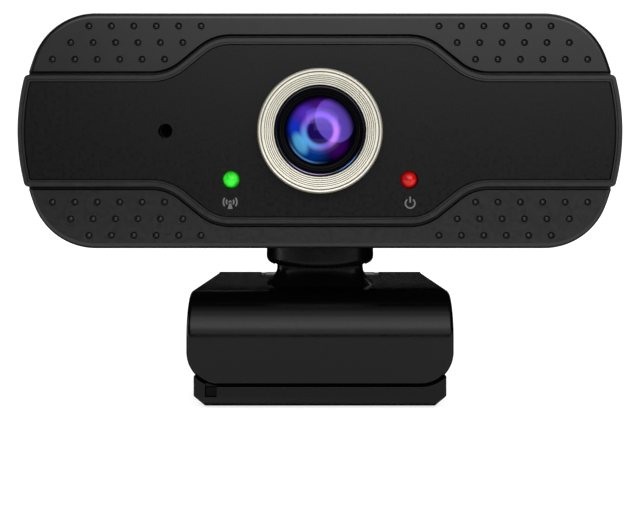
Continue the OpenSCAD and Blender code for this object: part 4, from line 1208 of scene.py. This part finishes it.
CARRIED = {
    "hinge_pin": STEEL, "hinge_washers": BLACK_ACETAL, "neck_screw": STEEL, "tilt_pin": STEEL,
    "pan_lock_washer": STEEL, "pan_screw": STEEL, "pan_washer": ACETAL, "lens_barrel": BARREL_METAL,
    "lens_stop": DEEP_BLACK, "middle_lens": INNER_GLASS, "lens_spacer": DEEP_BLACK, "rear_lens": INNER_GLASS,
    "ir_filter": FILTER_GLASS, "lens_holder": DEEP_BLACK, "holder_screws": STEEL, "image_sensor": SENSOR,
    "main_board": BOARD, "processor": CHIP, "board_parts": SMALL_PARTS, "board_screws": STEEL,
    "usb_header": NYLON, "microphone": FELTED_CAN, "microphone_boot": RUBBER,
}


def finish_carried_nodes():
    for name, material in CARRIED.items():
        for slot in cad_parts[name].material_slots:
            slot.material = material


# ---- Studio ----

def floor_strip(profile, name, seen_in_gloss):
    """A wide strip of white paper that follows a profile of (y, z) points."""
    half_w = 3.0
    bm = bmesh.new()
    bridge(bm, [[(x, y, z) for y, z in profile] for x in (half_w, -half_w)], wrap=False)
    strip = to_object(bm, name)
    strip.data.polygons.foreach_set("use_smooth", [True] * len(strip.data.polygons))
    strip.data.materials.append(PAPER)
    strip.visible_glossy = seen_in_gloss


def make_paper():
    material, tree, shader = new_material("floor_paper", Roughness=0.9, Specular_IOR_Level=0.1,
                                          Emission_Color=(1, 1, 1), Emission_Strength=0.72)
    wire(tree, shader, Base_Color=tinted(tree, noise(tree, 3), (0.48, 0.48, 0.48), (0.52, 0.52, 0.52)))
    return material


PAPER = make_paper()


def make_stage():
    """A pale floor that curves up into a backdrop. Gloss shows only the part in front of the object."""
    back, height, bend = 1.6, 2.6, 0.8
    curve = [(back - bend + bend * math.sin(a), bend - bend * math.cos(a))
             for a in [0.5 * math.pi * i / 16 for i in range(17)]]
    near, far = foot_lo.y + 0.2 * MM, -0.15
    floor_strip([(-2.5, 0), (far, 0)], "floor_front", False)
    floor_strip([(far, 0), (near, 0)], "floor_near", True)
    floor_strip([(near, 0)] + curve + [(back, height)], "floor_back", False)


PANEL_DISTANCE = 1.5
PANEL_W = 2.0


def panel_light(name, low, high, radiance, side):
    """A soft panel in front of the object, between two elevations in degrees, with even radiance."""
    (low_y, low_z), (high_y, high_z) = [(-PANEL_DISTANCE * math.cos(math.radians(e)),
                                         PANEL_DISTANCE * math.sin(math.radians(e))) for e in (low, high)]
    height = math.dist((low_y, low_z), (high_y, high_z))
    middle = (side, (low_y + high_y) / 2, (HEAD_Z + low_z + high_z) / 2)
    make_light(name, middle, (side, 0, HEAD_Z / 2), radiance * math.pi * PANEL_W * height, PANEL_W, height)


def make_light(name, location, target, power, width, height):
    """A rectangular light that faces a target. Sizes are in metres, power in watts."""
    data = bpy.data.lights.new(name, "AREA")
    data.shape = "RECTANGLE"
    data.size, data.size_y, data.energy = width, height, power
    light = bpy.data.objects.new(name, data)
    light.location = location
    light.rotation_euler = (Vector(target) - Vector(location)).to_track_quat("-Z", "Y").to_euler()
    bpy.context.collection.objects.link(light)


def make_lights():
    world = bpy.data.worlds.new("studio")
    bpy.context.scene.world = world
    world.use_nodes = True
    wire(world.node_tree, world.node_tree.nodes["Background"], Color=(1, 1, 1), Strength=0.3)
    world.cycles_visibility.glossy = False
    panel_light("high_panel", 66, 80, 0.35, side=0.3)
    panel_light("top_panel", 50, 66, 1.1, side=0.3)
    panel_light("upper_panel", 36, 50, 2.5, side=0.2)
    panel_light("middle_panel", 17, 36, 3.5, side=0.2)
    panel_light("low_panel", 2, 17, 1.55, side=0.65)
    make_light("left_strip", (-1.2, 0.1, 0.12), (0, 0, HEAD_Z / 2), power=2.2, width=0.25, height=0.5)
    make_light("back", (0.2, 0.9, 0.9), LENS_AXIS, power=6, width=1.0, height=1.0)
    bpy.context.scene.view_settings.view_transform = "Standard"


make_bezel()
make_band()
make_plate()
make_rear_shell()
make_shell_screws()
make_ring()
make_hood()
make_hood_bead()
make_retainer()
make_front_lens()
make_lamp("signal_lamp", "green_lamp", -1, GREEN_LAMP)
make_lamp("power_lamp", "red_lamp", 1, RED_LAMP)
make_symbols()
make_collar()
make_neck()
make_bracket()
make_foot()
make_pad("foot_pad", "base_pad", "foot", hole_r=4.5 * MM)
make_pad("screen_pad", "back_pad", "foot", ribs=9)
make_pad("lip_pad", "front_pad", "bracket")
make_pad("top_pad", "upper_pad", "bracket", hole_r=3.3 * MM)
make_gland()
make_insert()
finish_carried_nodes()
make_stage()
make_lights()
